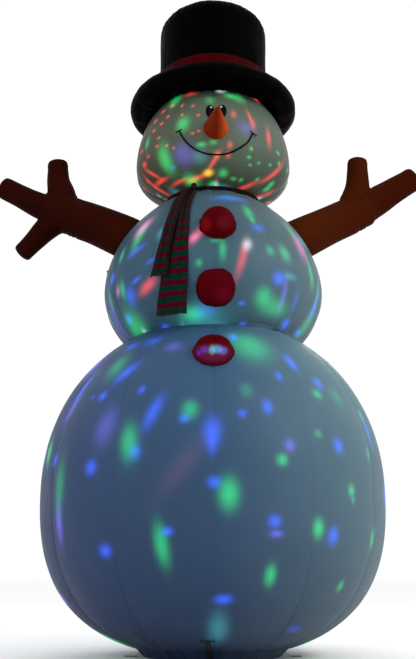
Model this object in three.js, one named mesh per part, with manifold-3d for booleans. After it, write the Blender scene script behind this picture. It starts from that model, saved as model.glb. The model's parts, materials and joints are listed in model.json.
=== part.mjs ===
// Inflatable yard snowman, six metres tall. Millimetres, +Z up.
// Origin: centre of the base panel, on the ground. The face looks along -Y.
import * as THREE from 'three';
import { mergeVertices } from 'three/addons/utils/BufferGeometryUtils.js';
import Module from 'manifold-3d';

const wasm = await Module();
wasm.setup();

// ---------------------------------------------------------------- dimensions
const HEIGHT = 6100;            // ground to crown
const SEG = 24;                 // facets round each ball, two to a gore
const SKIN = 3;                 // modelled thickness of the sewn envelope
const GAP = 0.4;                // clearance between sewn-together pieces

const BASE_R = 560;             // flat ground panel
const BOTTOM = { z: 1361, r: 1480, low: 1342, pLow: 2.639, up: 1514, pUp: 2.039 };
const WAIST_Z = 2658;
const MIDDLE = { z: 3134, r: 1007, low: 762.5, pLow: 1.967, up: 1017, pUp: 1.828 };
const NECK_Z = 4069;
const HEAD = { z: 4397, r: 741, low: 364.3, pLow: 2.121, up: 880, pUp: 1.995 };
const HEAD_TOP_Z = 5036;

const CROWN_R = 526, CROWN_Z0 = 5041, CROWN_DOME = 268, CROWN_P = 2.67;
const BRIM_Z = 5040, BRIM_R = 675, BRIM_TUBE = 125;
const BAND_Z0 = 5110, BAND_Z1 = 5372;

const BUTTON_R = 155, BUTTON_DEPTH = 128, BUTTON_SINK = 20;
const NOSE_R = 110, NOSE_LENGTH = 350;
const SCARF_WIDTH = 243;

const BLOWER_R = 150, BLOWER_Z = 550, BLOWER_TILT = 120.5;
const ZIP_Z = 950, ZIP_HALF_DEG = 11;
const POD_R = 62;
const RING_Z = 3390;

// ---------------------------------------------------------------- materials
const mat = (color, roughness, metalness = 0) => new THREE.MeshStandardMaterial({ color, roughness, metalness });
const M = {
  skin: mat(0x6f86a0, 0.6), hat: mat(0x0d0d0e, 0.65), red: mat(0x7c1020, 0.55), brown: mat(0x5a2b14, 0.6),
  orange: mat(0xa84a18, 0.55), scarf: mat(0x4a1420, 0.7), webbing: mat(0x101011, 0.75), eye: mat(0x060606, 0.35),
  plastic: mat(0x1b1c1e, 0.5), grey: mat(0x8a8d90, 0.5), steel: mat(0xb6b8ba, 0.3, 1), board: mat(0x1f5a33, 0.5),
  lens: mat(0xdfe8ee, 0.1), cable: mat(0x121212, 0.6), zip: mat(0x202226, 0.6),
};

// ---------------------------------------------------------------- solids
function toSolid(geometry) {
  let g = geometry.index ? geometry.clone() : geometry.clone();
  for (const name of Object.keys(g.attributes)) if (name !== 'position') g.deleteAttribute(name);
  g = mergeVertices(g, 1e-3);
  const p = g.attributes.position.array;
  const index = g.index.array;
  const tri = [];
  let volume = 0;
  const at = (i) => [p[3 * i], p[3 * i + 1], p[3 * i + 2]];
  for (let i = 0; i < index.length; i += 3) {
    const [a, b, c] = [index[i], index[i + 1], index[i + 2]];
    if (a === b || b === c || a === c) continue;
    tri.push(a, b, c);
    const [A, B, C] = [at(a), at(b), at(c)];
    volume += A[0] * (B[1] * C[2] - B[2] * C[1]) - A[1] * (B[0] * C[2] - B[2] * C[0]) + A[2] * (B[0] * C[1] - B[1] * C[0]);
  }
  if (volume < 0) for (let i = 0; i < tri.length; i += 3) [tri[i + 1], tri[i + 2]] = [tri[i + 2], tri[i + 1]];
  const mesh = new wasm.Mesh({ numProp: 3, vertProperties: new Float32Array(p), triVerts: new Uint32Array(tri) });
  mesh.merge();
  return new wasm.Manifold(mesh);
}

function toGeometry(solid) {
  const m = solid.getMesh();
  const g = new THREE.BufferGeometry();
  const n = m.numProp;
  const count = m.vertProperties.length / n;
  const xyz = new Float32Array(count * 3);
  for (let i = 0; i < count; i++) for (let k = 0; k < 3; k++) xyz[3 * i + k] = m.vertProperties[n * i + k];
  g.setAttribute('position', new THREE.BufferAttribute(xyz, 3));
  g.setIndex(Array.from(m.triVerts));
  g.computeVertexNormals();
  return g;
}

const rad = (d) => (d * Math.PI) / 180;
const v3 = (x, y, z) => new THREE.Vector3(x, y, z);

// lathe about Z from [r, z] pairs; a vertex column lies on -Y
function lathe(profile, segments = SEG) {
  const g = new THREE.LatheGeometry(profile.map(([r, z]) => new THREE.Vector2(r, z)), segments);
  g.rotateX(Math.PI / 2);
  return g;
}
const latheSolid = (profile, segments) => toSolid(lathe(profile, segments));
const ring = (r0, r1, z0, z1, segments = SEG) => latheSolid([[r0, z0], [r1, z0], [r1, z1], [r0, z1], [r0, z0]], segments);
const disc = (r, z0, z1, segments = SEG) => latheSolid([[0, z0], [r, z0], [r, z1], [0, z1]], segments);

function boxSolid(x0, x1, y0, y1, z0, z1) {
  const g = new THREE.BoxGeometry(x1 - x0, y1 - y0, z1 - z0);
  g.translate((x0 + x1) / 2, (y0 + y1) / 2, (z0 + z1) / 2);
  return toSolid(g);
}

// polygon [x, y] drawn out evenly to both sides of the XY plane
function extrudeSolid(points, depth) {
  const s = new THREE.Shape();
  points.forEach(([x, y], i) => (i ? s.lineTo(x, y) : s.moveTo(x, y)));
  const g = new THREE.ExtrudeGeometry(s, { depth, steps: 1, bevelEnabled: false });
  g.translate(0, 0, -depth / 2);
  return toSolid(g);
}

function circleShape(r, sides) {
  const s = new THREE.Shape();
  for (let i = 0; i < sides; i++) {
    const a = (2 * Math.PI * i) / sides;
    if (i === 0) s.moveTo(r * Math.cos(a), r * Math.sin(a)); else s.lineTo(r * Math.cos(a), r * Math.sin(a));
  }
  s.closePath();
  return s;
}

function tube(points, r, sides, steps) {
  const curve = new THREE.CatmullRomCurve3(points, false, 'centripetal');
  return new THREE.ExtrudeGeometry(circleShape(r, sides), { steps, extrudePath: curve, bevelEnabled: false });
}

// closed tapering limb: circles of changing radius round a spine that lies in a plane of constant Y;
// a finger ends in a blunt, slightly crowned disc
function limb(spine, blunt, sides = 10) {
  const curve = new THREE.CatmullRomCurve3(spine.map(([x, z]) => v3(x, 0, z)), false, 'centripetal');
  const steps = spine.length - 1;
  const pos = [], idx = [];
  const radius = (t) => {
    const s = t * (spine.length - 1), i = Math.min(Math.floor(s), spine.length - 2), f = s - i;
    return spine[i][2] * (1 - f) + spine[i + 1][2] * f;
  };
  const rows = [];
  for (let i = 0; i <= steps; i++) {
    const t = i / steps;
    rows.push({ c: curve.getPoint(t), d: curve.getTangent(t), r: radius(t) });
  }
  const last = rows[rows.length - 1];
  const ends = blunt ? [[0.62, 1], [0.84, 0.88]] : [35, 65].map((a) => [Math.sin(rad(a)), Math.cos(rad(a))]);
  for (const [along, width] of ends) rows.push({ c: last.c.clone().addScaledVector(last.d, last.r * along), d: last.d, r: last.r * width });
  rows.forEach(({ c, d, r }) => {
    const side = v3(0, 1, 0), up = v3().crossVectors(d, side).normalize();
    for (let j = 0; j < sides; j++) {
      const a = (2 * Math.PI * j) / sides;
      const q = c.clone().addScaledVector(side, r * Math.cos(a)).addScaledVector(up, r * Math.sin(a));
      pos.push(q.x, q.y, q.z);
    }
  });
  const n = rows.length;
  for (let i = 0; i < n - 1; i++) for (let j = 0; j < sides; j++) {
    const a = i * sides + j, b = i * sides + (j + 1) % sides, c = a + sides, e = b + sides;
    idx.push(a, b, e, a, e, c);
  }
  const c0 = pos.length / 3;
  pos.push(rows[0].c.x, rows[0].c.y, rows[0].c.z);
  const tip = last.c.clone().addScaledVector(last.d, last.r * (blunt ? 0.95 : 1));
  pos.push(tip.x, tip.y, tip.z);
  for (let j = 0; j < sides; j++) {
    idx.push(c0, (j + 1) % sides, j);
    idx.push(c0 + 1, (n - 1) * sides + j, (n - 1) * sides + (j + 1) % sides);
  }
  const g = new THREE.BufferGeometry();
  g.setAttribute('position', new THREE.Float32BufferAttribute(pos, 3));
  g.setIndex(idx);
  return toSolid(g);
}

// slab of even thickness over a grid of inner points with outward directions
function slab(rows, cols, at, thickness) {
  const pos = [], idx = [];
  const id = (i, j, k) => (k * (rows + 1) + i) * (cols + 1) + j;
  for (let k = 0; k < 2; k++) for (let i = 0; i <= rows; i++) for (let j = 0; j <= cols; j++) {
    const { p, n } = at(i / rows, j / cols);
    pos.push(p.x + k * thickness * n.x, p.y + k * thickness * n.y, p.z + k * thickness * n.z);
  }
  const quad = (a, b, c, d) => idx.push(a, b, c, a, c, d);
  for (let i = 0; i < rows; i++) for (let j = 0; j < cols; j++) {
    quad(id(i, j, 1), id(i, j + 1, 1), id(i + 1, j + 1, 1), id(i + 1, j, 1));
    quad(id(i, j, 0), id(i + 1, j, 0), id(i + 1, j + 1, 0), id(i, j + 1, 0));
  }
  for (let i = 0; i < rows; i++) {
    quad(id(i, 0, 0), id(i, 0, 1), id(i + 1, 0, 1), id(i + 1, 0, 0));
    quad(id(i, cols, 0), id(i + 1, cols, 0), id(i + 1, cols, 1), id(i, cols, 1));
  }
  for (let j = 0; j < cols; j++) {
    quad(id(0, j, 0), id(0, j + 1, 0), id(0, j + 1, 1), id(0, j, 1));
    quad(id(rows, j, 0), id(rows, j, 1), id(rows, j + 1, 1), id(rows, j + 1, 0));
  }
  const g = new THREE.BufferGeometry();
  g.setAttribute('position', new THREE.Float32BufferAttribute(pos, 3));
  g.setIndex(idx);
  return toSolid(g);
}

const turnZ = (solid, deg) => {
  const g = toGeometry(solid);
  g.rotateZ(rad(deg));
  return toSolid(g);
};
const place = (solid, matrix) => {
  const g = toGeometry(solid);
  g.applyMatrix4(matrix);
  return toSolid(g);
};

// ---------------------------------------------------------------- envelope profiles
const se = (t, p) => Math.pow(Math.max(1 - Math.pow(Math.abs(t), p), 0), 1 / p);
const ball = (b) => (z) => (z < b.z ? b.r * se((b.z - z) / b.low, b.pLow) : b.r * se((z - b.z) / b.up, b.pUp));
const rBottom = (z) => (z < 90 ? Math.max(ball(BOTTOM)(z), BASE_R + Math.max(z, 0)) : ball(BOTTOM)(z));
const rMiddle = ball(MIDDLE);
const rHead = ball(HEAD);
const slope = (rf, z) => (rf(z + 1) - rf(z - 1)) / 2;

function arcSample(rf, z0, z1, n) {
  if (rf === rBottom && z0 < 10) return [z0, 45, 90, ...arcSample(rf, 138, z1, n - 3)];
  const dense = 600, pts = [[rf(z0), z0]], len = [0];
  for (let i = 1; i <= dense; i++) {
    const z = z0 + ((z1 - z0) * i) / dense;
    pts.push([rf(z), z]);
    len.push(len[i - 1] + Math.hypot(pts[i][0] - pts[i - 1][0], pts[i][1] - pts[i - 1][1]));
  }
  const out = [];
  for (let k = 0; k <= n; k++) {
    const s = (len[dense] * k) / n;
    if (k === 0 || k === n) { out.push(k ? z1 : z0); continue; }
    let i = Math.max(len.findIndex((l) => l >= s), 1);
    const f = (s - len[i - 1]) / (len[i] - len[i - 1]);
    out.push(pts[i - 1][1] + f * (pts[i][1] - pts[i - 1][1]));
  }
  return out;
}

function offsetPoint(rf, z, off) {
  const e = Math.atan(-slope(rf, z));
  return [rf(z) + off * Math.cos(e), z + off * Math.sin(e)];
}

// hollow shell of one ball, open above and below
function shell(rf, z0, z1, n) {
  const zs = arcSample(rf, z0, z1, n);
  const outer = zs.map((z) => [rf(z), z]);
  const inner = zs.map((z) => offsetPoint(rf, z, -SKIN)).map(([r, z], i) => (i === 0 ? [r, z0] : i === zs.length - 1 ? [r, z1] : [r, z]));
  inner[0][0] = rf(z0) - SKIN;
  inner[inner.length - 1][0] = rf(z1) - SKIN;
  return latheSolid([...outer, ...inner.reverse(), outer[0]]);
}

// full solid of one ball, grown by off, to trim the pieces sewn on it
function full(rf, z0, z1, n, off) {
  const zs = arcSample(rf, z0, z1, n);
  const pts = zs.map((z) => offsetPoint(rf, z, off));
  pts[0][1] = z0 - off;
  pts[pts.length - 1][1] = z1 + off;
  return latheSolid([[0, z0 - off], ...pts, [0, z1 + off]]);
}

const N_BOTTOM = 14, N_MIDDLE = 10, N_HEAD = 8;
const bottomFull = (off) => full(rBottom, 5.4, WAIST_Z - 0.3, N_BOTTOM, off);
const middleFull = (off) => full(rMiddle, WAIST_Z + 0.3, NECK_Z - 0.3, N_MIDDLE, off);
const headFull = (off) => full(rHead, NECK_Z + 0.3, HEAD_TOP_Z, N_HEAD, off);
const cutBottom = bottomFull(GAP), cutMiddle = middleFull(GAP), cutHead = headFull(GAP);

// point on a ball: azimuth from -Y towards +X
function surface(rf, az, z, off) {
  const e = Math.atan(-slope(rf, z)), a = rad(az);
  const n = v3(Math.cos(e) * Math.sin(a), -Math.cos(e) * Math.cos(a), Math.sin(e));
  const p = v3(rf(z) * Math.sin(a), -rf(z) * Math.cos(a), z).addScaledVector(n, off);
  return { p, n, e, a };
}
// frame whose +Z leaves the surface, +X runs sideways, origin on the surface
function surfaceMatrix(rf, az, z, off = 0) {
  const { p, n, a } = surface(rf, az, z, off);
  const x = v3(Math.cos(a), Math.sin(a), 0);
  const y = v3().crossVectors(n, x);
  return new THREE.Matrix4().makeBasis(x, y, n).setPosition(p);
}

// ---------------------------------------------------------------- scene
const snowman = new THREE.Group();
snowman.name = 'inflatable_yard_snowman';
function add(name, solid, material, group = snowman) {
  const mesh = new THREE.Mesh(toGeometry(solid), material);
  mesh.name = name;
  group.add(mesh);
  return mesh;
}

// ---------------------------------------------------------------- envelope
add('base_panel', disc(BASE_R, 0, 5), M.skin);
{
  const axis = new THREE.Matrix4().makeRotationX(rad(-BLOWER_TILT)).setPosition(0, rBottom(BLOWER_Z), BLOWER_Z);
  const hole = place(disc(BLOWER_R + 1.5, -160, 120, 24), axis);
  add('bottom_ball_skin', shell(rBottom, 5.4, WAIST_Z - 0.3, N_BOTTOM).subtract(hole), M.skin);
  // elastic collar round the blower
  const collar = bottomFull(4).subtract(cutBottom).intersect(place(disc(BLOWER_R + 26, -60, 90, 24), axis)).subtract(hole);
  add('blower_port_ring', collar, M.webbing);
}
add('middle_ball_skin', shell(rMiddle, WAIST_Z + 0.3, NECK_Z - 0.3, N_MIDDLE), M.skin);
add('head_skin', shell(rHead, NECK_Z + 0.3, HEAD_TOP_Z, N_HEAD), M.skin);
add('waist_seam_tape', ring(768, 771, WAIST_Z - 12, WAIST_Z + 12), M.webbing);
add('neck_seam_tape', ring(336.5, 339.5, NECK_Z - 8, NECK_Z + 8), M.webbing);

// ---------------------------------------------------------------- hat
{
  const out = [[CROWN_R, CROWN_Z0], [CROWN_R, HEIGHT - CROWN_DOME]];
  for (const t of [0.4, 0.68, 0.88, 0.97]) out.push([CROWN_R * se(t, CROWN_P), HEIGHT - CROWN_DOME + CROWN_DOME * t]);
  out.push([0, HEIGHT]);
  const inn = [[CROWN_R - SKIN, CROWN_Z0], [CROWN_R - SKIN, HEIGHT - CROWN_DOME]];
  for (const t of [0.55, 0.88]) inn.push([(CROWN_R - 2 * SKIN) * se(t, CROWN_P), HEIGHT - CROWN_DOME - SKIN + (CROWN_DOME - SKIN) * t]);
  inn.push([0, HEIGHT - 2 * SKIN]);
  add('hat_crown', latheSolid([...out.reverse(), ...inn], SEG), M.hat);
}
{
  // inflated ring, open where it is sewn to the crown
  const outer = [], inner = [];
  for (let i = 0; i <= 9; i++) {
    const a = rad(-162 + (324 * i) / 9);
    outer.push([BRIM_R + BRIM_TUBE * Math.cos(a), BRIM_Z + BRIM_TUBE * Math.sin(a)]);
    if (i % 2 === 0 || i === 9) inner.push([BRIM_R + (BRIM_TUBE - SKIN) * Math.cos(a), BRIM_Z + (BRIM_TUBE - SKIN) * Math.sin(a)]);
  }
  add('hat_brim', latheSolid([...outer, ...inner.reverse(), outer[0]], SEG), M.hat);
}
add('hat_band', ring(CROWN_R + 1, CROWN_R + 6, BAND_Z0, BAND_Z1, SEG), M.red);

// ---------------------------------------------------------------- face
{
  const az = 2.1, z = 4486;
  const prof = [[0, NOSE_LENGTH], [9, NOSE_LENGTH - 4], [15, NOSE_LENGTH - 16], [62, 175], [96, 40], [NOSE_R, -20], [NOSE_R - 4, -20], [92, 40], [58, 175], [13, NOSE_LENGTH - 20], [0, NOSE_LENGTH - 20]];
  const m = new THREE.Matrix4().makeRotationX(rad(90 - 2)).premultiply(new THREE.Matrix4().makeRotationZ(rad(az)));
  m.setPosition(v3(rHead(z) * Math.sin(rad(az)), -rHead(z) * Math.cos(rad(az)), z));
  add('nose_cone', place(latheSolid(prof, 16), m).subtract(cutHead), M.orange);
}
for (const [name, az, z] of [['left_eye', -2.3, 4675], ['right_eye', 6.7, 4678]]) {
  const eye = new THREE.SphereGeometry(1, 12, 6);
  eye.scale(40, 80, 12);
  const s = place(toSolid(eye), surfaceMatrix(rHead, az, z, 2)).subtract(cutHead);
  add(name, s, M.eye);
}
{
  const arc = [[-24.1, 4484], [-19, 4370], [-12.9, 4298], [-5, 4258], [3, 4250], [10.5, 4262], [17.9, 4306], [24.5, 4377], [29.1, 4482]];
  const pts = arc.map(([az, z]) => surface(rHead, az, z, 4).p);
  let s = toSolid(tube(pts, 8, 6, 16));
  for (const [a, b] of [[[-26.4, 4476], [-22.0, 4493]], [[27.0, 4492], [31.4, 4463]]]) {
    s = s.add(toSolid(tube([surface(rHead, a[0], a[1], 4).p, surface(rHead, (a[0] + b[0]) / 2, (a[1] + b[1]) / 2, 5).p, surface(rHead, b[0], b[1], 4).p], 8, 6, 2)));
  }
  add('mouth_piping', s.subtract(cutHead), M.webbing);
}

// ---------------------------------------------------------------- buttons, hollow domes open towards the ball
function button(name, rf, cut, az, z, depth, radius = BUTTON_R) {
  const outer = [], inner = [];
  for (const a of [90, 62, 38, 15, -4, -20]) outer.push([radius * Math.cos(rad(a)), depth * Math.sin(rad(a))]);
  for (const a of [-20, 10, 50, 90]) inner.push([(radius - 4) * Math.cos(rad(a)), (depth - 4) * Math.sin(rad(a))]);
  outer[0][0] = 0; inner[inner.length - 1][0] = 0;
  const s = place(latheSolid([...outer, ...inner], 16), surfaceMatrix(rf, az, z, BUTTON_SINK));
  add(name, s.subtract(cut), M.red);
}
button('button_top', rMiddle, cutMiddle, 2.5, 3487, 165);
button('button_middle', rMiddle, cutMiddle, 1.3, 2914, BUTTON_DEPTH, 162);
button('button_bottom', rBottom, cutBottom, 0.2, 2334, 122, 167);

// ---------------------------------------------------------------- arms, hollow branches open towards the ball
function arm(name, limbs) {
  const build = (shrink) => limbs.map((l, i) => limb(l.map(([x, z, r]) => [x, z, r - shrink]), i > 0)).reduce((a, b) => a.add(b));
  add(name, build(0).subtract(build(SKIN)).subtract(cutMiddle), M.brown);
}
arm('left_arm', [
  [[-640, 3640, 200], [-850, 3745, 198], [-1080, 3850, 186], [-1300, 3935, 178], [-1450, 3985, 168], [-1540, 4010, 140]],
  [[-1400, 3960, 150], [-1435, 4140, 140], [-1475, 4290, 112], [-1487, 4420, 98]],
  [[-1500, 3990, 140], [-1690, 4075, 118], [-1830, 4150, 108], [-1935, 4205, 106]],
  [[-1450, 3940, 140], [-1570, 3820, 115], [-1665, 3710, 98], [-1742, 3622, 90]],
]);
arm('right_arm', [
  [[640, 3630, 195], [850, 3730, 190], [1080, 3845, 176], [1300, 3950, 168], [1450, 4030, 160]],
  [[1300, 3960, 150], [1350, 4110, 138], [1378, 4260, 112], [1387, 4442, 97]],
  [[1380, 3990, 150], [1560, 4100, 138], [1720, 4205, 124], [1850, 4285, 116]],
]);

// ---------------------------------------------------------------- scarf
const bandRing = (grow) => {
  const pts = [];
  for (let i = 0; i <= 8; i++) { const a = rad(45 * i); pts.push([438 + (46 + grow) * Math.cos(a), 4055 + (32 + grow) * Math.sin(a)]); }
  pts[8] = pts[0];
  return latheSolid(pts);
};
const knotSolid = (grow) => {
  const g = new THREE.SphereGeometry(1, 14, 8);
  g.scale(46 + grow, 34 + grow, 40 + grow);
  return place(toSolid(g), new THREE.Matrix4().makeRotationZ(rad(-17.5)).setPosition(-172, -545, 4012));
};
add('scarf_band', bandRing(0).subtract(middleFull(GAP)).subtract(cutHead), M.scarf);
add('scarf_knot', knotSolid(0).subtract(cutMiddle).subtract(cutHead).subtract(bandRing(GAP)), M.scarf);
// each tail follows the ball down to its widest ring, then hangs straight
function tail(name, off, rows) {
  const zs = rows.map((r) => r[0]);
  const pick = (z, k) => {
    let i = 0;
    while (i < rows.length - 2 && z < rows[i + 1][0]) i++;
    const f = (z - rows[i][0]) / (rows[i + 1][0] - rows[i][0]);
    return rows[i][k] + f * (rows[i + 1][k] - rows[i][k]);
  };
  const list = [];
  for (let i = 0; i < rows.length - 1; i++) { list.push(zs[i]); if (zs[i] - zs[i + 1] > 130) list.push((zs[i] + zs[i + 1]) / 2); }
  list.push(zs[zs.length - 1]);
  const at = (s, t) => {
    const z = list[Math.round(s * (list.length - 1))];
    const R = z >= MIDDLE.z ? rMiddle(z) : MIDDLE.r;
    const e = z >= MIDDLE.z ? Math.atan(-slope(rMiddle, z)) : 0;
    const Ro = R + off * Math.cos(e);
    const x = pick(z, 1) + t * (pick(z, 2) - pick(z, 1));
    const a = Math.asin(x / Ro);
    const n = v3(Math.cos(e) * Math.sin(a), -Math.cos(e) * Math.cos(a), Math.sin(e));
    return { p: v3(x, -Ro * Math.cos(a), z + off * Math.sin(e)), n };
  };
  add(name, slab(list.length - 1, 4, at, 5).subtract(knotSolid(GAP)).subtract(bandRing(GAP)), M.scarf);
}
tail('scarf_long_tail', 10, [[3985, -205, -150], [3900, -240, -160], [3800, -280, -176], [3670, -315, -190], [3500, -350, -197], [3300, -385, -200], [3134, -410, -202], [2950, -430, -204], [2800, -442, -208], [2683, -452, -210]]);
tail('scarf_short_tail', 24, [[3990, -215, -165], [3900, -275, -205], [3800, -325, -235], [3670, -358, -262], [3557, -384, -285], [3400, -414, -312], [3260, -441, -335], [3134, -472, -350], [3022, -498, -360]]);

// ---------------------------------------------------------------- ground loops of webbing, four round the base
function stakeLoop(name, az) {
  // strap: down the ball from z 185, then to the ground, then flat with a slot for the stake
  const zs = [185, 160, 135, 110, 88];
  const inner = zs.map((z) => offsetPoint(rBottom, z, 1));
  const outer = zs.map((z) => offsetPoint(rBottom, z, 4));
  const s = new THREE.Shape();
  const foot = [[652, 30], [648, 6], [640, 4], [640, 0], [652, 0]];
  outer.forEach(([r, z], i) => (i ? s.lineTo(r, z) : s.moveTo(r, z)));
  [[660, 62], [656, 30], [654, 4], [740, 4], [740, 0], [649, 0], [650, 30], [655, 66]].forEach(([r, z]) => s.lineTo(r, z));
  [...inner].reverse().forEach(([r, z]) => s.lineTo(r, z));
  s.closePath();
  const g = new THREE.ExtrudeGeometry(s, { depth: 40, steps: 1, bevelEnabled: false });
  g.translate(0, 0, -20);
  // shape x (radius) -> -Y, shape y -> +Z, depth -> X
  g.applyMatrix4(new THREE.Matrix4().makeBasis(v3(0, -1, 0), v3(0, 0, 1), v3(-1, 0, 0)));
  let strap = toSolid(g).subtract(boxSolid(-11, 11, -728, -670, -5, 12));
  const cross = slab(1, 4, (i, j) => {
    const z = 168 + 22 * i, off = 1;
    const q = surface(rBottom, (j - 0.5) * 7.2, z, off);
    return q;
  }, 3.2);
  strap = strap.add(cross).subtract(cutBottom);
  add(name, turnZ(strap, az), M.webbing);
}
stakeLoop('stake_loop_front', -2.4);
stakeLoop('stake_loop_right', 90);
stakeLoop('stake_loop_rear', 180);
stakeLoop('stake_loop_left', -90);

// ---------------------------------------------------------------- tether tabs and their swinging rings
function tether(side, az) {
  const r0 = rMiddle(RING_Z), rc = r0 + 26;
  // local: x outward, y sideways, z up; turned to the azimuth afterwards
  const knuckle = place(ring(6, 9.5, -14, 14, 16), new THREE.Matrix4().makeRotationX(rad(90)).setPosition(rc, 0, RING_Z));
  const neck = boxSolid(r0 - 12, rc - 7, -14, 14, RING_Z - 3, RING_Z + 3);
  const toX = new THREE.Matrix4().makeRotationZ(rad(90));
  const patch = place(slab(2, 2, (i, j) => surface(rMiddle, (j - 0.5) * 3.6, RING_Z - 40 + 80 * i, 1), 3.2), toX);
  const cut = cutMiddle;
  const spin = new THREE.Matrix4().makeRotationZ(rad(az - 90));
  add(`tether_tab_${side}`, place(knuckle.add(neck).add(patch), spin).subtract(cut), M.webbing);
  // flat D ring, its straight bar through the eye of the tab
  const W = 26, DROP = 42, BAR = 6.5;
  const dee = (w, top, drop, depth) => {
    const pts = [[-w, top], [w, top], [w, -18]];
    for (const a of [-25, -50, -75, -105, -130, -155]) pts.push([w * Math.cos(rad(a)), -18 + (drop - 18) * Math.sin(rad(a))]);
    pts.push([-w, -18]);
    return extrudeSolid(pts, depth);
  };
  // shape x -> Y, shape y -> Z, depth -> X
  const stand = new THREE.Matrix4().makeBasis(v3(0, 1, 0), v3(0, 0, 1), v3(1, 0, 0)).setPosition(rc, 0, RING_Z);
  const dring = place(dee(W, 3.5, DROP, 7).subtract(dee(W - BAR, -3.5, DROP - BAR, 20)), stand);
  add(`tether_ring_${side}`, place(dring, spin), M.steel);
}
tether('left', -90);
tether('right', 100);
tether('rear', 180);

// ---------------------------------------------------------------- blower, built along local +Z = out of the ball
const blower = new THREE.Group();
blower.position.set(0, rBottom(BLOWER_Z), BLOWER_Z);
blower.rotation.x = rad(-BLOWER_TILT);
snowman.add(blower);
add('blower_housing', ring(BLOWER_R - 4, BLOWER_R, -110, 72, 24), M.plastic, blower);
{
  let g = ring(132, BLOWER_R - 5, 58, 66, 24);
  for (const r of [46, 90]) g = g.add(ring(r - 3, r + 3, 60.5, 65.5, 12));
  g = g.add(disc(14, 60.5, 65.5, 8));
  for (let i = 0; i < 4; i++) {
    const bar = boxSolid(-134, 134, -3, 3, 60.5, 65.5);
    g = g.add(turnZ(bar, i * 45));
  }
  add('blower_intake_grille', g, M.plastic, blower);
}
{
  let m = disc(46, -78, -22, 16);
  for (let i = 0; i < 3; i++) m = m.add(turnZ(boxSolid(40, BLOWER_R - 5, -6, 6, -60, -48), 90 + i * 120));
  m = m.add(disc(4, -24, 22, 8));
  add('blower_motor', m, M.grey, blower);
}
{
  let w = disc(32, -12, 34, 16);
  for (let i = 0; i < 6; i++) {
    const blade = new THREE.BoxGeometry(104, 4, 34);
    blade.translate(82, 0, 0);
    blade.rotateX(rad(52));
    blade.translate(0, 0, 12);
    blade.rotateZ(rad(i * 60));
    w = w.add(toSolid(blade));
  }
  w = w.subtract(disc(4.8, -20, 24, 12));
  add('blower_impeller', w, M.plastic, blower);
}
{
  let b = boxSolid(140, 176, -26, 26, 12, 54).add(place(disc(13, 0, 16, 16), new THREE.Matrix4().makeRotationY(rad(90)).setPosition(175, 0, 33)));
  b = b.subtract(place(disc(8, 4, 30, 16), new THREE.Matrix4().makeRotationY(rad(90)).setPosition(175, 0, 33)));
  b = b.subtract(disc(BLOWER_R + GAP, -20, 90, 24));
  add('blower_power_inlet', b, M.plastic, blower);
}

// ---------------------------------------------------------------- deflation zip at the rear
function sector(r0, r1, a0, a1, z0, z1, n) {
  // angles from +Y, towards -X
  const s = new THREE.Shape();
  for (let i = 0; i <= n; i++) { const a = rad(90 + a0 + ((a1 - a0) * i) / n); if (i) s.lineTo(r1 * Math.cos(a), r1 * Math.sin(a)); else s.moveTo(r1 * Math.cos(a), r1 * Math.sin(a)); }
  for (let i = n; i >= 0; i--) { const a = rad(90 + a0 + ((a1 - a0) * i) / n); s.lineTo(r0 * Math.cos(a), r0 * Math.sin(a)); }
  s.closePath();
  const g = new THREE.ExtrudeGeometry(s, { depth: z1 - z0, bevelEnabled: false });
  g.translate(0, 0, z0);
  return toSolid(g);
}
{
  const r = rBottom(ZIP_Z + 20) + 1;
  add('zipper_tape', sector(r, r + 2.5, -ZIP_HALF_DEG, ZIP_HALF_DEG, ZIP_Z - 20, ZIP_Z + 20, 16), M.zip);
  add('zipper_teeth', sector(r + 3, r + 6, -ZIP_HALF_DEG + 0.4, ZIP_HALF_DEG - 0.4, ZIP_Z - 4, ZIP_Z + 4, 16), M.zip);
  const a = -ZIP_HALF_DEG + 0.9;
  const body = sector(r + 6.6, r + 12, a - 0.5, a + 0.5, ZIP_Z - 9, ZIP_Z + 9, 2);
  const inr = r + 11.5, out = r + 22;
  // bail: two cheeks and a bar the pull hangs from
  const cheeks = sector(inr, out, a - 0.34, a - 0.2, ZIP_Z - 5, ZIP_Z + 5, 1).add(sector(inr, out, a + 0.2, a + 0.34, ZIP_Z - 5, ZIP_Z + 5, 1))
    .add(sector(out - 5, out - 2, a - 0.3, a + 0.3, ZIP_Z - 1.5, ZIP_Z + 1.5, 1));
  add('zipper_slider', body.add(cheeks), M.steel);
  // pull: flat tag with a square eye round the bar
  const mid = r + 18.5;
  const pull = new THREE.Shape();
  pull.moveTo(-4, 5); pull.lineTo(4, 5); pull.lineTo(4.5, -4); pull.lineTo(6, -38); pull.lineTo(-6, -38); pull.lineTo(-4.5, -4); pull.closePath();
  const g = new THREE.ExtrudeGeometry(pull, { depth: 7, bevelEnabled: false });
  g.translate(0, 0, -3.5);
  g.applyMatrix4(new THREE.Matrix4().makeBasis(v3(1, 0, 0), v3(0, 0, 1), v3(0, -1, 0)));
  let tag = toSolid(g).subtract(boxSolid(-20, 20, -2.6, 2.6, -2.6, 2.6)).subtract(boxSolid(-20, 20, 1.2, 6, -50, -6)).subtract(boxSolid(-20, 20, -6, -1.2, -50, -6));
  tag = place(tag, new THREE.Matrix4().makeRotationZ(rad(a)).setPosition(mid * Math.cos(rad(90 + a)), mid * Math.sin(rad(90 + a)), ZIP_Z));
  add('zipper_pull', tag, M.steel);
}

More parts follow.
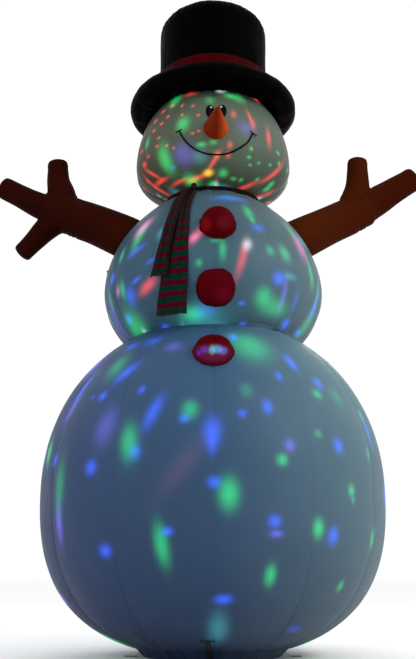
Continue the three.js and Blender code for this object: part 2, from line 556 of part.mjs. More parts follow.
// ---------------------------------------------------------------- rotating light pods
function pod(which, z0) {
  const H = 62;
  const cup = latheSolid([[0, z0], [POD_R, z0], [POD_R, z0 + H], [POD_R - 3, z0 + H], [POD_R - 3, z0 + 3], [0, z0 + 3]], 16);
  add(`light_housing_${which}`, cup, M.plastic);
  add(`light_board_${which}`, ring(6, POD_R - 6, z0 + 46, z0 + 49, 12), M.board);
  add(`light_motor_${which}`, disc(16, z0 + 3.4, z0 + 34, 12).add(disc(3, z0 + 30, z0 + 60, 6)), M.grey);
  const dome = [[0, z0 + H + 60]], inn = [];
  for (const a of [62, 34, 12, 0]) dome.push([60 * Math.cos(rad(a)), z0 + H + 1 + 59 * Math.sin(rad(a))]);
  for (const a of [0, 30, 62]) inn.push([57 * Math.cos(rad(a)), z0 + H + 1 + 56 * Math.sin(rad(a))]);
  dome.push(...inn, [8, z0 + H + 53], [8, z0 + 53], [0, z0 + 53]);
  // spindle under the dome, with a blind hole that turns on the motor shaft
  add(`light_dome_${which}`, latheSolid(dome, 14).subtract(disc(3.8, z0 + 40, z0 + 62, 10)), M.lens);
}
pod('bottom', 5.4);
pod('middle', WAIST_Z + 1.4);
pod('head', NECK_Z + 1.4);
add('light_strap_middle', boxSolid(-765, 765, -20, 20, WAIST_Z - 1, WAIST_Z + 1), M.webbing);
add('light_strap_head', boxSolid(-334.5, 334.5, -15, 15, NECK_Z - 1, NECK_Z + 1), M.webbing);

// ---------------------------------------------------------------- leads inside the envelope
const lead = (name, pts, steps) => add(name, toSolid(tube(pts.map((p) => v3(...p)), 4, 6, steps)), M.cable);
lead('harness_lower', [[0, 1244, 593], [0, 1180, 575], [0, 1050, 420], [0, 880, 260], [0, 620, 110], [0, 330, 34], [0, 150, 22], [0, 64.5, 22]], 20);
lead('harness_middle', [[66, 0, 30], [105, 8, 50], [118, 60, 300], [80, 110, 1100], [50, 115, 2000], [20, 118, 2560], [2, 108, 2676], [0, 65, 2690]], 26);
lead('harness_upper', [[0, -66, 2690], [0, -100, 2712], [8, -118, 3100], [8, -118, 3700], [2, -110, 4010], [0, -98, 4088], [0, -65.5, 4100]], 20);

export default snowman;
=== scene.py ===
import json
import math
import bmesh
import bpy
import numpy as np
from mathutils import Matrix, Vector

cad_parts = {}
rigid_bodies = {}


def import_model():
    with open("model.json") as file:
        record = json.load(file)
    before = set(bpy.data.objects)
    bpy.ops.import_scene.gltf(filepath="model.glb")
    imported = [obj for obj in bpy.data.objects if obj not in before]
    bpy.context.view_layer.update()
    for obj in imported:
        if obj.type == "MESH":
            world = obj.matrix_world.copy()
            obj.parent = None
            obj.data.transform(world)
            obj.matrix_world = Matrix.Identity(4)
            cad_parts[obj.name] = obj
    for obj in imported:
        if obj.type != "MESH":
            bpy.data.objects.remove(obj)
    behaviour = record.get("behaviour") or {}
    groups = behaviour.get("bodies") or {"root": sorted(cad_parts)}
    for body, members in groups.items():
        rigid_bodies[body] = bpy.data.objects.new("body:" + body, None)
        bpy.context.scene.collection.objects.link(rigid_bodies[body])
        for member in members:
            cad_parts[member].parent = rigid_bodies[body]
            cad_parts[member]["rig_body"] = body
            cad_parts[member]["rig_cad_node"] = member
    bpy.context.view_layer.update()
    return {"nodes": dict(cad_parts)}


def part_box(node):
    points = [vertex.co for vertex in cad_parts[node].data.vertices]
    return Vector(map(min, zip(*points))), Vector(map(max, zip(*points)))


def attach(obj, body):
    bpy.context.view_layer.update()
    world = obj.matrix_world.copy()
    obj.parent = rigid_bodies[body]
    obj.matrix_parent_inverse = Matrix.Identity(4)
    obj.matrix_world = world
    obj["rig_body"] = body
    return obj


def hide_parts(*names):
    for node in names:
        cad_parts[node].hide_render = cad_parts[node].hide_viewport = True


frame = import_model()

scene = bpy.context.scene
RNG = np.random.default_rng(20)
ROOT = "snowman"

# ------------------------------------------------------------------ sizes, metres
BOTTOM = (1.361, 1.480, 1.342, 2.639, 1.514, 2.039)
MIDDLE = (3.134, 1.007, 0.7625, 1.967, 1.017, 1.828)
HEAD = (4.397, 0.741, 0.3643, 2.121, 0.880, 1.995)
BASE_R, WAIST_Z, NECK_Z, HEAD_TOP = 0.560, 2.658, 4.069, 5.036
CROWN_R, CROWN_Z0, TOP_Z, DOME = 0.526, 5.041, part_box("hat_crown")[1].z, 0.268
BRIM_Z, BRIM_R, BRIM_TUBE = 5.040, 0.675, 0.125
GORE = math.radians(30)


def ball_r(b, z):
    z = np.asarray(z, float)
    low = b[1] * np.maximum(1 - (np.maximum(b[0] - z, 0) / b[2]) ** b[3], 0) ** (1 / b[3])
    up = b[1] * np.maximum(1 - (np.maximum(z - b[0], 0) / b[4]) ** b[5], 0) ** (1 / b[5])
    return np.where(z < b[0], low, up)


def r_bottom(z):
    z = np.asarray(z, float)
    r = ball_r(BOTTOM, z)
    return np.where(z < 0.09, np.maximum(r, BASE_R + np.maximum(z, 0)), r)


def r_middle(z):
    return ball_r(MIDDLE, z)


def r_head(z):
    return ball_r(HEAD, z)


def noise1(x, seed):
    # smooth one-dimensional noise, period 64
    g = np.random.default_rng(seed).uniform(-1, 1, 64)
    x = np.asarray(x, float)
    i = np.floor(x).astype(int)
    f = x - i
    f = f * f * (3 - 2 * f)
    return g[i % 64] * (1 - f) + g[(i + 1) % 64] * f


def noise2(x, y, seed):
    g = np.random.default_rng(seed).uniform(-1, 1, (64, 64))
    x, y = np.asarray(x, float), np.asarray(y, float)
    i, j = np.floor(x).astype(int), np.floor(y).astype(int)
    f, h = x - i, y - j
    f, h = f * f * (3 - 2 * f), h * h * (3 - 2 * h)
    a, b = g[i % 64, j % 64], g[(i + 1) % 64, j % 64]
    c, d = g[i % 64, (j + 1) % 64], g[(i + 1) % 64, (j + 1) % 64]
    return (a * (1 - f) + b * f) * (1 - h) + (c * (1 - f) + d * f) * h


class Ball:
    """One ball of twelve gores: its surface, with seams drawn in, puckers and folds."""

    def __init__(self, name, rf, z0, z1, seed):
        self.name, self.rf, self.seed = name, rf, seed
        z = np.linspace(z0, z1, 1600)
        r = rf(z)
        s = np.concatenate([[0], np.cumsum(np.hypot(np.diff(r), np.diff(z)))])
        self.z, self.s, self.length = z, s, s[-1]
        self.z0, self.z1 = z0, z1

    def s_of(self, z):
        return np.interp(z, self.z, self.s)

    def z_of(self, s):
        return np.interp(s, self.s, self.z)

    def disp(self, az, z):
        """How far the fabric stands off the smooth profile; az in radians from -Y towards +X."""
        az, z = np.asarray(az, float), np.asarray(z, float)
        r, s = self.rf(z), self.s_of(z)
        k = np.round(az / GORE)
        u = (az - k * GORE) / (GORE / 2)
        d = np.abs(u) * (GORE / 2) * r
        seam = k.astype(int) % 12
        full = np.clip(r / 0.9, 0.3, 1.3)
        out = -0.009 * full * (1 - np.abs(u)) ** 2 - 0.0035 * np.exp(-((d / 0.007) ** 2))
        # puckers run a little way out of each seam
        patch = np.clip(noise2(s / 0.33 + seam * 7.3, seam * 1.0 + 0.5, self.seed) + 0.35, 0, 1)
        side = np.where(u < 0, 1.7, 0.0)
        wave = np.sin(2 * np.pi * s / 0.052 + 1.5 * noise1(s / 0.11 + seam * 3.1, self.seed + 1) + side)
        reach = 0.045 + 0.035 * noise1(s / 0.17 + seam * 5.0, self.seed + 2)
        out = out + 0.0032 * patch * wave * np.exp(-d / np.maximum(reach, 0.015)) * (1 - np.exp(-((d / 0.006) ** 2)))
        # soft folds that hang from the creases
        end = np.minimum(self.length - s, s if self.name != "bottom" else self.length)
        fold = noise1(az * 9.5 + 20, self.seed + 3) + 0.6 * noise1(az * 23 + 3, self.seed + 4)
        out = out + 0.006 * fold * np.exp(-((end / 0.16) ** 2)) * np.clip(end / 0.02, 0, 1)
        if self.name == "bottom":
            low = np.exp(-((z / 0.16) ** 2)) * np.clip(z / 0.03, 0, 1)
            out = out + low * 0.010 * (noise1(az * 14 + 5, 91) + 0.6 * noise1(az * 31 + 9, 92))
        # broad unevenness of a soft envelope
        out = out + 0.004 * full * noise2(az * 5 + 11, s / 0.42 + 2, self.seed + 5)
        crease = np.clip(np.minimum(self.length - s, s) / 0.03, 0, 1) if self.name != "bottom" else np.clip((self.length - s) / 0.03, 0, 1)
        return out * crease

    def normal_tilt(self, z):
        return np.arctan(-(self.rf(np.asarray(z) + 0.001) - self.rf(np.asarray(z) - 0.001)) / 0.002)

    def point(self, az, z, off=0.0, flat=False):
        az, z = np.asarray(az, float), np.asarray(z, float)
        e = self.normal_tilt(z)
        h = off + (0 if flat else self.disp(az, z))
        r = self.rf(z) + h * np.cos(e)
        return np.stack([r * np.sin(az), -r * np.cos(az), z + h * np.sin(e) + 0 * az], -1)

    def frame_at(self, az, z, off=0.0):
        """Matrix at a point: x sideways, y up along the fabric, z out."""
        e = float(self.normal_tilt(z))
        n = Vector((math.cos(e) * math.sin(az), -math.cos(e) * math.cos(az), math.sin(e)))
        x = Vector((math.cos(az), math.sin(az), 0))
        y = n.cross(x)
        p = Vector(self.point(az, z, off).tolist())
        m = Matrix.Identity(4)
        for i in range(3):
            m[i][0], m[i][1], m[i][2], m[i][3] = x[i], y[i], n[i], p[i]
        return m


BALLS = {
    "bottom": Ball("bottom", r_bottom, 0.006, WAIST_Z, 11),
    "middle": Ball("middle", r_middle, WAIST_Z, NECK_Z, 31),
    "head": Ball("head", r_head, NECK_Z, HEAD_TOP, 53),
}

# ------------------------------------------------------------------ camera, light, floor
cam_data = bpy.data.cameras.new("camera")
cam = bpy.data.objects.new("camera", cam_data)
scene.collection.objects.link(cam)
cam.location = (0, -7.834, 0.645)
cam.rotation_euler = (math.radians(90 + 15.58), 0, 0)
cam_data.sensor_width = 36
cam_data.lens = 48.31
cam_data.shift_x = -0.0076
cam_data.clip_end = 500
cam_data.dof.use_dof = False
scene.camera = cam
scene.view_settings.view_transform = "Standard"
scene.view_settings.look = "None"

world = bpy.data.worlds.new("studio")
scene.world = world
world.use_nodes = True
bg = world.node_tree.nodes["Background"]
bg.inputs["Color"].default_value = (0.97, 0.975, 0.98, 1)
bg.inputs["Strength"].default_value = 1.05


def area_light(name, loc, aim, size, power, color=(1, 1, 1)):
    d = bpy.data.lights.new(name, "AREA")
    d.shape, d.size, d.energy, d.color = "DISK", size, power, color
    o = bpy.data.objects.new(name, d)
    scene.collection.objects.link(o)
    o.location = loc
    o.rotation_euler = (Vector(aim) - Vector(loc)).to_track_quat("-Z", "Y").to_euler()
    return o


area_light("key", (8.5, -7.5, 9.0), (0.3, 0, 2.8), 4.0, 620, (1.0, 0.98, 0.95))
area_light("fill", (-8.5, -6, 5.5), (0, 0, 2.8), 5.0, 140, (0.92, 0.96, 1.0))
area_light("back", (3, 10, 7), (0, 0, 3.2), 4.0, 160)


# ------------------------------------------------------------------ node helpers
class Nodes:
    def __init__(self, name):
        self.m = bpy.data.materials.new(name)
        self.m.use_nodes = True
        self.t = self.m.node_tree
        self.b = self.t.nodes["Principled BSDF"]

    def new(self, kind, **sets):
        n = self.t.nodes.new(kind)
        for k, v in sets.items():
            setattr(n, k, v)
        return n

    def link(self, a, b):
        self.t.links.new(a, b)

    def val(self, node, **ins):
        for k, v in ins.items():
            node.inputs[k.replace("_", " ")].default_value = v
        return node

    def coords(self):
        return self.new("ShaderNodeTexCoord").outputs["Object"]

    def noise(self, vec, scale, detail=4.0, rough=0.5):
        n = self.new("ShaderNodeTexNoise")
        self.val(n, Scale=scale, Detail=detail, Roughness=rough)
        self.link(vec, n.inputs["Vector"])
        return n.outputs["Fac"]

    def wave(self, vec, scale, axis="X", dist=0.0):
        n = self.new("ShaderNodeTexWave", wave_type="BANDS", bands_direction=axis)
        self.val(n, Scale=scale, Distortion=dist)
        self.link(vec, n.inputs["Vector"])
        return n.outputs["Fac"]

    def math(self, op, a, b=None, c=None, clamp=False):
        n = self.new("ShaderNodeMath", operation=op, use_clamp=clamp)
        for i, v in enumerate((a, b, c)):
            if v is None:
                continue
            if isinstance(v, (int, float)):
                n.inputs[i].default_value = v
            else:
                self.link(v, n.inputs[i])
        return n.outputs[0]

    def ramp(self, fac, *stops):
        n = self.new("ShaderNodeValToRGB")
        while len(n.color_ramp.elements) < len(stops):
            n.color_ramp.elements.new(0.5)
        for e, (p, c) in zip(n.color_ramp.elements, stops):
            e.position, e.color = p, (*c, 1)
        self.link(fac, n.inputs["Fac"])
        return n.outputs["Color"]

    def mix(self, fac, a, b, blend="MIX"):
        n = self.new("ShaderNodeMix", data_type="RGBA", blend_type=blend)
        for s, v in ((n.inputs[0], fac), (n.inputs[6], a), (n.inputs[7], b)):
            if isinstance(v, (int, float)):
                s.default_value = v
            elif isinstance(v, tuple):
                s.default_value = (*v, 1)
            else:
                self.link(v, s)
        return n.outputs[2]

    def attr(self, name, out="Color"):
        n = self.new("ShaderNodeAttribute", attribute_name=name)
        return n.outputs[out]

    def bump(self, height, distance, strength=1.0, normal=None):
        n = self.new("ShaderNodeBump")
        self.val(n, Distance=distance, Strength=strength)
        self.link(height, n.inputs["Height"])
        if normal is not None:
            self.link(normal, n.inputs["Normal"])
        return n.outputs["Normal"]


def thin_fabric(name, color, rough=0.5, tint_and_shade=False, glow=False, shade=0.10, sheen=0.0, spec=0.16, coat=0.0, crinkle=1.0):
    """Coated polyester: fine ripstop grid, crinkle, slight unevenness of colour and gloss."""
    k = Nodes(name)
    p = k.coords()
    broad, fine = k.noise(p, 1.7, 3), k.noise(p, 38, 4)
    # with the flag set, the base colour comes from a per-vertex colour attribute that holds painted shade and light as
    # well as the fabric's own colour
    base = k.attr("Tint") if tint_and_shade else color
    lo = tuple(1 - shade for _ in range(3))
    col = k.mix(1.0, base, k.ramp(broad, (0.3, lo), (0.72, (1 + 0 * shade,) * 3)), "MULTIPLY")
    col = k.mix(1.0, col, k.ramp(fine, (0.25, (0.95, 0.95, 0.95)), (0.75, (1, 1, 1))), "MULTIPLY")
    k.link(col, k.b.inputs["Base Color"])
    r = k.math("MULTIPLY_ADD", k.noise(p, 9, 3), 0.16, rough - 0.08)
    k.link(r, k.b.inputs["Roughness"])
    wx, wy, wz = (k.wave(p, 52, a) for a in "XYZ")
    grid = k.math("MAXIMUM", k.math("MAXIMUM", k.math("POWER", wx, 14.0), k.math("POWER", wy, 14.0)), k.math("POWER", wz, 14.0))
    n = k.bump(grid, 0.0004, 0.5)
    n = k.bump(k.noise(p, 16, 5, 0.6), 0.006 * crinkle, 0.35, n)
    k.link(n, k.b.inputs["Normal"])
    k.b.inputs["Sheen Weight"].default_value = sheen
    k.b.inputs["Sheen Roughness"].default_value = 0.4
    k.b.inputs["Specular IOR Level"].default_value = spec
    if coat:
        k.b.inputs["Coat Weight"].default_value = coat
        k.b.inputs["Coat Roughness"].default_value = 0.35
    if glow:
        k.link(k.attr("Glow"), k.b.inputs["Emission Color"])
        k.b.inputs["Emission Strength"].default_value = 1.0
    return k.m


def moulded(name, color, rough=0.45, spec=0.5, grain=420):
    k = Nodes(name)
    p = k.coords()
    col = k.mix(1.0, color, k.ramp(k.noise(p, 14, 3), (0.3, (0.85, 0.85, 0.85)), (0.7, (1, 1, 1))), "MULTIPLY")
    k.link(col, k.b.inputs["Base Color"])
    k.link(k.math("MULTIPLY_ADD", k.noise(p, 30, 3), 0.2, rough - 0.1), k.b.inputs["Roughness"])
    k.link(k.bump(k.noise(p, grain, 2), 0.0002, 0.5), k.b.inputs["Normal"])
    k.b.inputs["Specular IOR Level"].default_value = spec
    return k.m


def metal(name, color, rough=0.3):
    k = Nodes(name)
    p = k.coords()
    k.link(k.mix(1.0, color, k.ramp(k.noise(p, 60, 4), (0.3, (0.8, 0.8, 0.8)), (0.7, (1, 1, 1))), "MULTIPLY"), k.b.inputs["Base Color"])
    k.link(k.math("MULTIPLY_ADD", k.noise(p, 90, 4), 0.25, rough - 0.12), k.b.inputs["Roughness"])
    k.link(k.bump(k.noise(p, 300, 2), 0.0001, 0.4), k.b.inputs["Normal"])
    k.b.inputs["Metallic"].default_value = 1.0
    return k.m


def webbing(name, color):
    k = Nodes(name)
    p = k.coords()
    a = k.wave(p, 62, "DIAGONAL", 0.4)
    b = k.wave(p, 95, "Z", 0.3)
    h = k.math("ADD", a, k.math("MULTIPLY", b, 0.6))
    k.link(k.mix(1.0, color, k.ramp(h, (0.2, (0.6, 0.6, 0.6)), (0.9, (1.3, 1.3, 1.3))), "MULTIPLY"), k.b.inputs["Base Color"])
    k.link(k.math("MULTIPLY_ADD", k.noise(p, 80, 3), 0.15, 0.68), k.b.inputs["Roughness"])
    k.link(k.bump(h, 0.0008, 0.8), k.b.inputs["Normal"])
    k.b.inputs["Specular IOR Level"].default_value = 0.2
    return k.m


def board_material(name):
    k = Nodes(name)
    p = k.coords()
    v = k.new("ShaderNodeTexVoronoi", feature="F1")
    k.val(v, Scale=70.0)
    k.link(p, v.inputs["Vector"])
    k.link(k.ramp(v.outputs["Distance"], (0.0, (0.75, 0.7, 0.4)), (0.12, (0.70, 0.66, 0.4)), (0.16, (0.02, 0.16, 0.06)), (1.0, (0.03, 0.22, 0.09))), k.b.inputs["Base Color"])
    k.link(k.bump(k.noise(p, 150, 3), 0.0003), k.b.inputs["Normal"])
    k.link(k.math("MULTIPLY_ADD", k.noise(p, 60, 3), 0.2, 0.3), k.b.inputs["Roughness"])
    return k.m


def lens_material(name):
    k = Nodes(name)
    p = k.coords()
    v = k.new("ShaderNodeTexVoronoi", feature="DISTANCE_TO_EDGE")
    k.val(v, Scale=60.0)
    k.link(p, v.inputs["Vector"])
    k.link(k.ramp(k.noise(p, 20, 2), (0.3, (0.75, 0.83, 0.88)), (0.7, (0.9, 0.95, 0.98))), k.b.inputs["Base Color"])
    k.link(k.bump(v.outputs["Distance"], 0.002, 0.8), k.b.inputs["Normal"])
    k.link(k.math("MULTIPLY_ADD", k.noise(p, 50, 2), 0.1, 0.06), k.b.inputs["Roughness"])
    k.b.inputs["Transmission Weight"].default_value = 0.7
    k.b.inputs["IOR"].default_value = 1.49
    return k.m


def striped(name):
    """Woven scarf cloth: stripes along the float attribute Along, in metres."""
    k = Nodes(name)
    p = k.coords()
    along = k.attr("Along", "Fac")
    along = k.math("ADD", along, k.math("MULTIPLY", k.noise(p, 13, 2), 0.010))
    f = k.math("FRACT", k.math("DIVIDE", along, 0.098))
    edge = k.math("MULTIPLY", k.math("SUBTRACT", k.math("ABSOLUTE", k.math("SUBTRACT", f, 0.5)), 0.25), 26.0)
    sel = k.math("ADD", edge, 0.5, clamp=True)
    col = k.mix(sel, (0.052, 0.0005, 0.0060), (0.0004, 0.020, 0.013))
    col = k.mix(1.0, col, k.ramp(k.noise(p, 24, 4), (0.25, (0.62, 0.62, 0.62)), (0.75, (1.12, 1.12, 1.12))), "MULTIPLY")
    k.link(col, k.b.inputs["Base Color"])
    w = k.math("ADD", k.wave(p, 150, "X"), k.wave(p, 150, "Z"))
    n = k.bump(w, 0.0006, 0.6)
    n = k.bump(k.noise(p, 18, 4), 0.006, 0.4, n)
    k.link(n, k.b.inputs["Normal"])
    k.link(k.math("MULTIPLY_ADD", k.noise(p, 40, 3), 0.15, 0.62), k.b.inputs["Roughness"])
    k.b.inputs["Specular IOR Level"].default_value = 0.02
    return k.m


MAT = {
    "ball": thin_fabric("ball_fabric", None, 0.5, tint_and_shade=True, glow=True),
    "hat": thin_fabric("hat_fabric", (0.0004, 0.00045, 0.00045), 0.45, shade=0.3, spec=0.006, crinkle=1.6),
    "band": thin_fabric("band_fabric", (0.040, 0.0004, 0.0010), 0.5, shade=0.3, spec=0.012, crinkle=1.6),
    "button": thin_fabric("button_fabric", (0.072, 0.0004, 0.0028), 0.5, glow=True, shade=0.35, spec=0.008, crinkle=1.6),
    "arm": thin_fabric("arm_fabric", (0.060, 0.018, 0.0075), 0.55, tint_and_shade=True, glow=True, shade=0.35, spec=0.008, crinkle=1.6),
    "nose": thin_fabric("nose_fabric", (0.25, 0.045, 0.008), 0.55, tint_and_shade=True, shade=0.2, spec=0.04, crinkle=1.2),
    "black": thin_fabric("print_black", (0.0012, 0.0012, 0.0012), 0.5, shade=0.3, spec=0.04, crinkle=0.5),
    "glint": thin_fabric("print_white", (0.30, 0.40, 0.34), 0.45, crinkle=0.3),
    "scarf": striped("scarf_cloth"),
    "webbing": webbing("webbing_black", (0.012, 0.012, 0.013)),
    "blower": moulded("blower_plastic", (0.014, 0.0145, 0.016), 0.42),
    "podcase": moulded("pod_plastic", (0.025, 0.025, 0.027), 0.5),
    "motor": metal("motor_metal", (0.45, 0.46, 0.47), 0.4),
    "steel": metal("ring_steel", (0.55, 0.56, 0.57), 0.28),
    "zip": webbing("zip_tape", (0.02, 0.023, 0.028)),
    "zipmetal": metal("zip_metal", (0.32, 0.33, 0.34), 0.35),
    "board": board_material("pod_board"),
    "lens": lens_material("pod_lens"),
    "lead": moulded("lead_sheath", (0.012, 0.012, 0.012), 0.55, grain=200),
}

# pale floor
fl = Nodes("floor_pale")
fp = fl.coords()
fl.link(fl.ramp(fl.noise(fp, 0.6, 3), (0.3, (0.925, 0.925, 0.925)), (0.7, (0.945, 0.945, 0.945))), fl.b.inputs["Base Color"])
fl.link(fl.bump(fl.noise(fp, 40, 3), 0.0004), fl.b.inputs["Normal"])
fl.b.inputs["Roughness"].default_value = 0.9
fl.b.inputs["Specular IOR Level"].default_value = 0.1


# ------------------------------------------------------------------ mesh helpers
def link_mesh(name, verts, faces, mat, smooth=True):
    me = bpy.data.meshes.new(name)
    me.from_pydata([tuple(map(float, v)) for v in verts], [], faces)
    me.update()
    o = bpy.data.objects.new(name, me)
    scene.collection.objects.link(o)
    me.materials.append(mat)
    if smooth:
        me.polygons.foreach_set("use_smooth", [True] * len(me.polygons))
    return o


def quad_faces(rows, cols, wrap):
    i, j = np.meshgrid(np.arange(rows - 1), np.arange(cols if wrap else cols - 1), indexing="ij")
    a = i * cols + j
    b = i * cols + (j + 1) % cols
    return np.stack([a, b, b + cols, a + cols], -1).reshape(-1, 4)


def fast_mesh(name, verts, quads, mat, keep=None):
    """Quads only, from arrays."""
    verts = np.asarray(verts, np.float32).reshape(-1, 3)
    quads = np.asarray(quads, np.int32)
    if keep is not None:
        quads = quads[keep]
    used = np.zeros(len(verts), bool)
    used[quads.ravel()] = True
    new = np.cumsum(used) - 1
    verts, quads = verts[used], new[quads]
    me = bpy.data.meshes.new(name)
    me.vertices.add(len(verts))
    me.vertices.foreach_set("co", verts.ravel())
    me.loops.add(quads.size)
    me.loops.foreach_set("vertex_index", quads.ravel().astype(np.int32))
    me.polygons.add(len(quads))
    me.polygons.foreach_set("loop_start", (np.arange(len(quads)) * 4).astype(np.int32))
    me.update(calc_edges=True)
    me.validate()
    me.polygons.foreach_set("use_smooth", [True] * len(me.polygons))
    o = bpy.data.objects.new(name, me)
    scene.collection.objects.link(o)
    me.materials.append(mat)
    return o, used


def color_attr(o, name, rgb):
    a = o.data.attributes.new(name, "FLOAT_COLOR", "POINT")
    rgba = np.ones((len(o.data.vertices), 4), np.float32)
    rgba[:, :3] = rgb
    a.data.foreach_set("color", rgba.ravel())


def float_attr(o, name, v):
    a = o.data.attributes.new(name, "FLOAT", "POINT")
    a.data.foreach_set("value", np.asarray(v, np.float32).ravel())


def put(o, slot, *nodes, body=ROOT):
    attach(o, body)
    if nodes:
        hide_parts(*nodes)
    return o


def coords_of(o):
    co = np.zeros(len(o.data.vertices) * 3, np.float32)
    o.data.vertices.foreach_get("co", co)
    return co.reshape(-1, 3).astype(float)


def set_coords(o, co):
    o.data.vertices.foreach_set("co", np.asarray(co, np.float32).ravel())
    o.data.update()


def lathe_rows(profile, az):
    """Rows of [r, z] turned about Z at the given azimuths."""
    p = np.asarray(profile, float)
    r, z = p[:, 0][:, None], p[:, 1][:, None]
    return np.stack([r * np.sin(az), -r * np.cos(az), z + 0 * az], -1)


def smooth_path(pts, n):
    """Catmull-Rom through the points, n samples, even in length."""
    p = np.asarray(pts, float)
    q = np.vstack([2 * p[0] - p[1], p, 2 * p[-1] - p[-2]])
    out = []
    for i in range(1, len(q) - 2):
        t = np.linspace(0, 1, 24, endpoint=i == len(q) - 3)[:, None]
        a, b, c, d = q[i - 1], q[i], q[i + 1], q[i + 2]
        out.append(0.5 * (2 * b + (c - a) * t + (2 * a - 5 * b + 4 * c - d) * t**2 + (3 * b - a - 3 * c + d) * t**3))
    out = np.vstack(out)
    s = np.concatenate([[0], np.cumsum(np.linalg.norm(np.diff(out, axis=0), axis=1))])
    k = np.linspace(0, s[-1], n)
    return np.stack([np.interp(k, s, out[:, i]) for i in range(3)], -1)


def tube_mesh(name, path, radius, sides, mat, up=(0, 0, 1)):
    """Round tube with domed ends; radius may vary along it."""
    p = np.asarray(path, float)
    n = len(p)
    rad = np.full(n, radius, float) if np.isscalar(radius) else np.asarray(radius, float)
    t = np.gradient(p, axis=0)
    t /= np.linalg.norm(t, axis=1)[:, None]
    u = np.cross(t, np.asarray(up, float))
    u /= np.linalg.norm(u, axis=1)[:, None]
    v = np.cross(u, t)
    a = np.linspace(0, 2 * np.pi, sides, endpoint=False)
    ring = lambda c, r, uu, vv: c + r * (np.cos(a)[:, None] * uu + np.sin(a)[:, None] * vv)
    rows = []
    for k, f in ((0, -1),):
        for ang in (80, 55, 28):
            rows.append(ring(p[0] - t[0] * rad[0] * math.sin(math.radians(ang)), rad[0] * math.cos(math.radians(ang)), u[0], v[0]))
    for i in range(n):
        rows.append(ring(p[i], rad[i], u[i], v[i]))
    for ang in (28, 55, 80):
        rows.append(ring(p[-1] + t[-1] * rad[-1] * math.sin(math.radians(ang)), rad[-1] * math.cos(math.radians(ang)), u[-1], v[-1]))
    verts = np.vstack(rows)
    faces = [tuple(f) for f in quad_faces(len(rows), sides, True)]
    faces.append(tuple(range(sides - 1, -1, -1)))
    faces.append(tuple(range(len(verts) - sides, len(verts))))
    return link_mesh(name, verts, faces, mat)


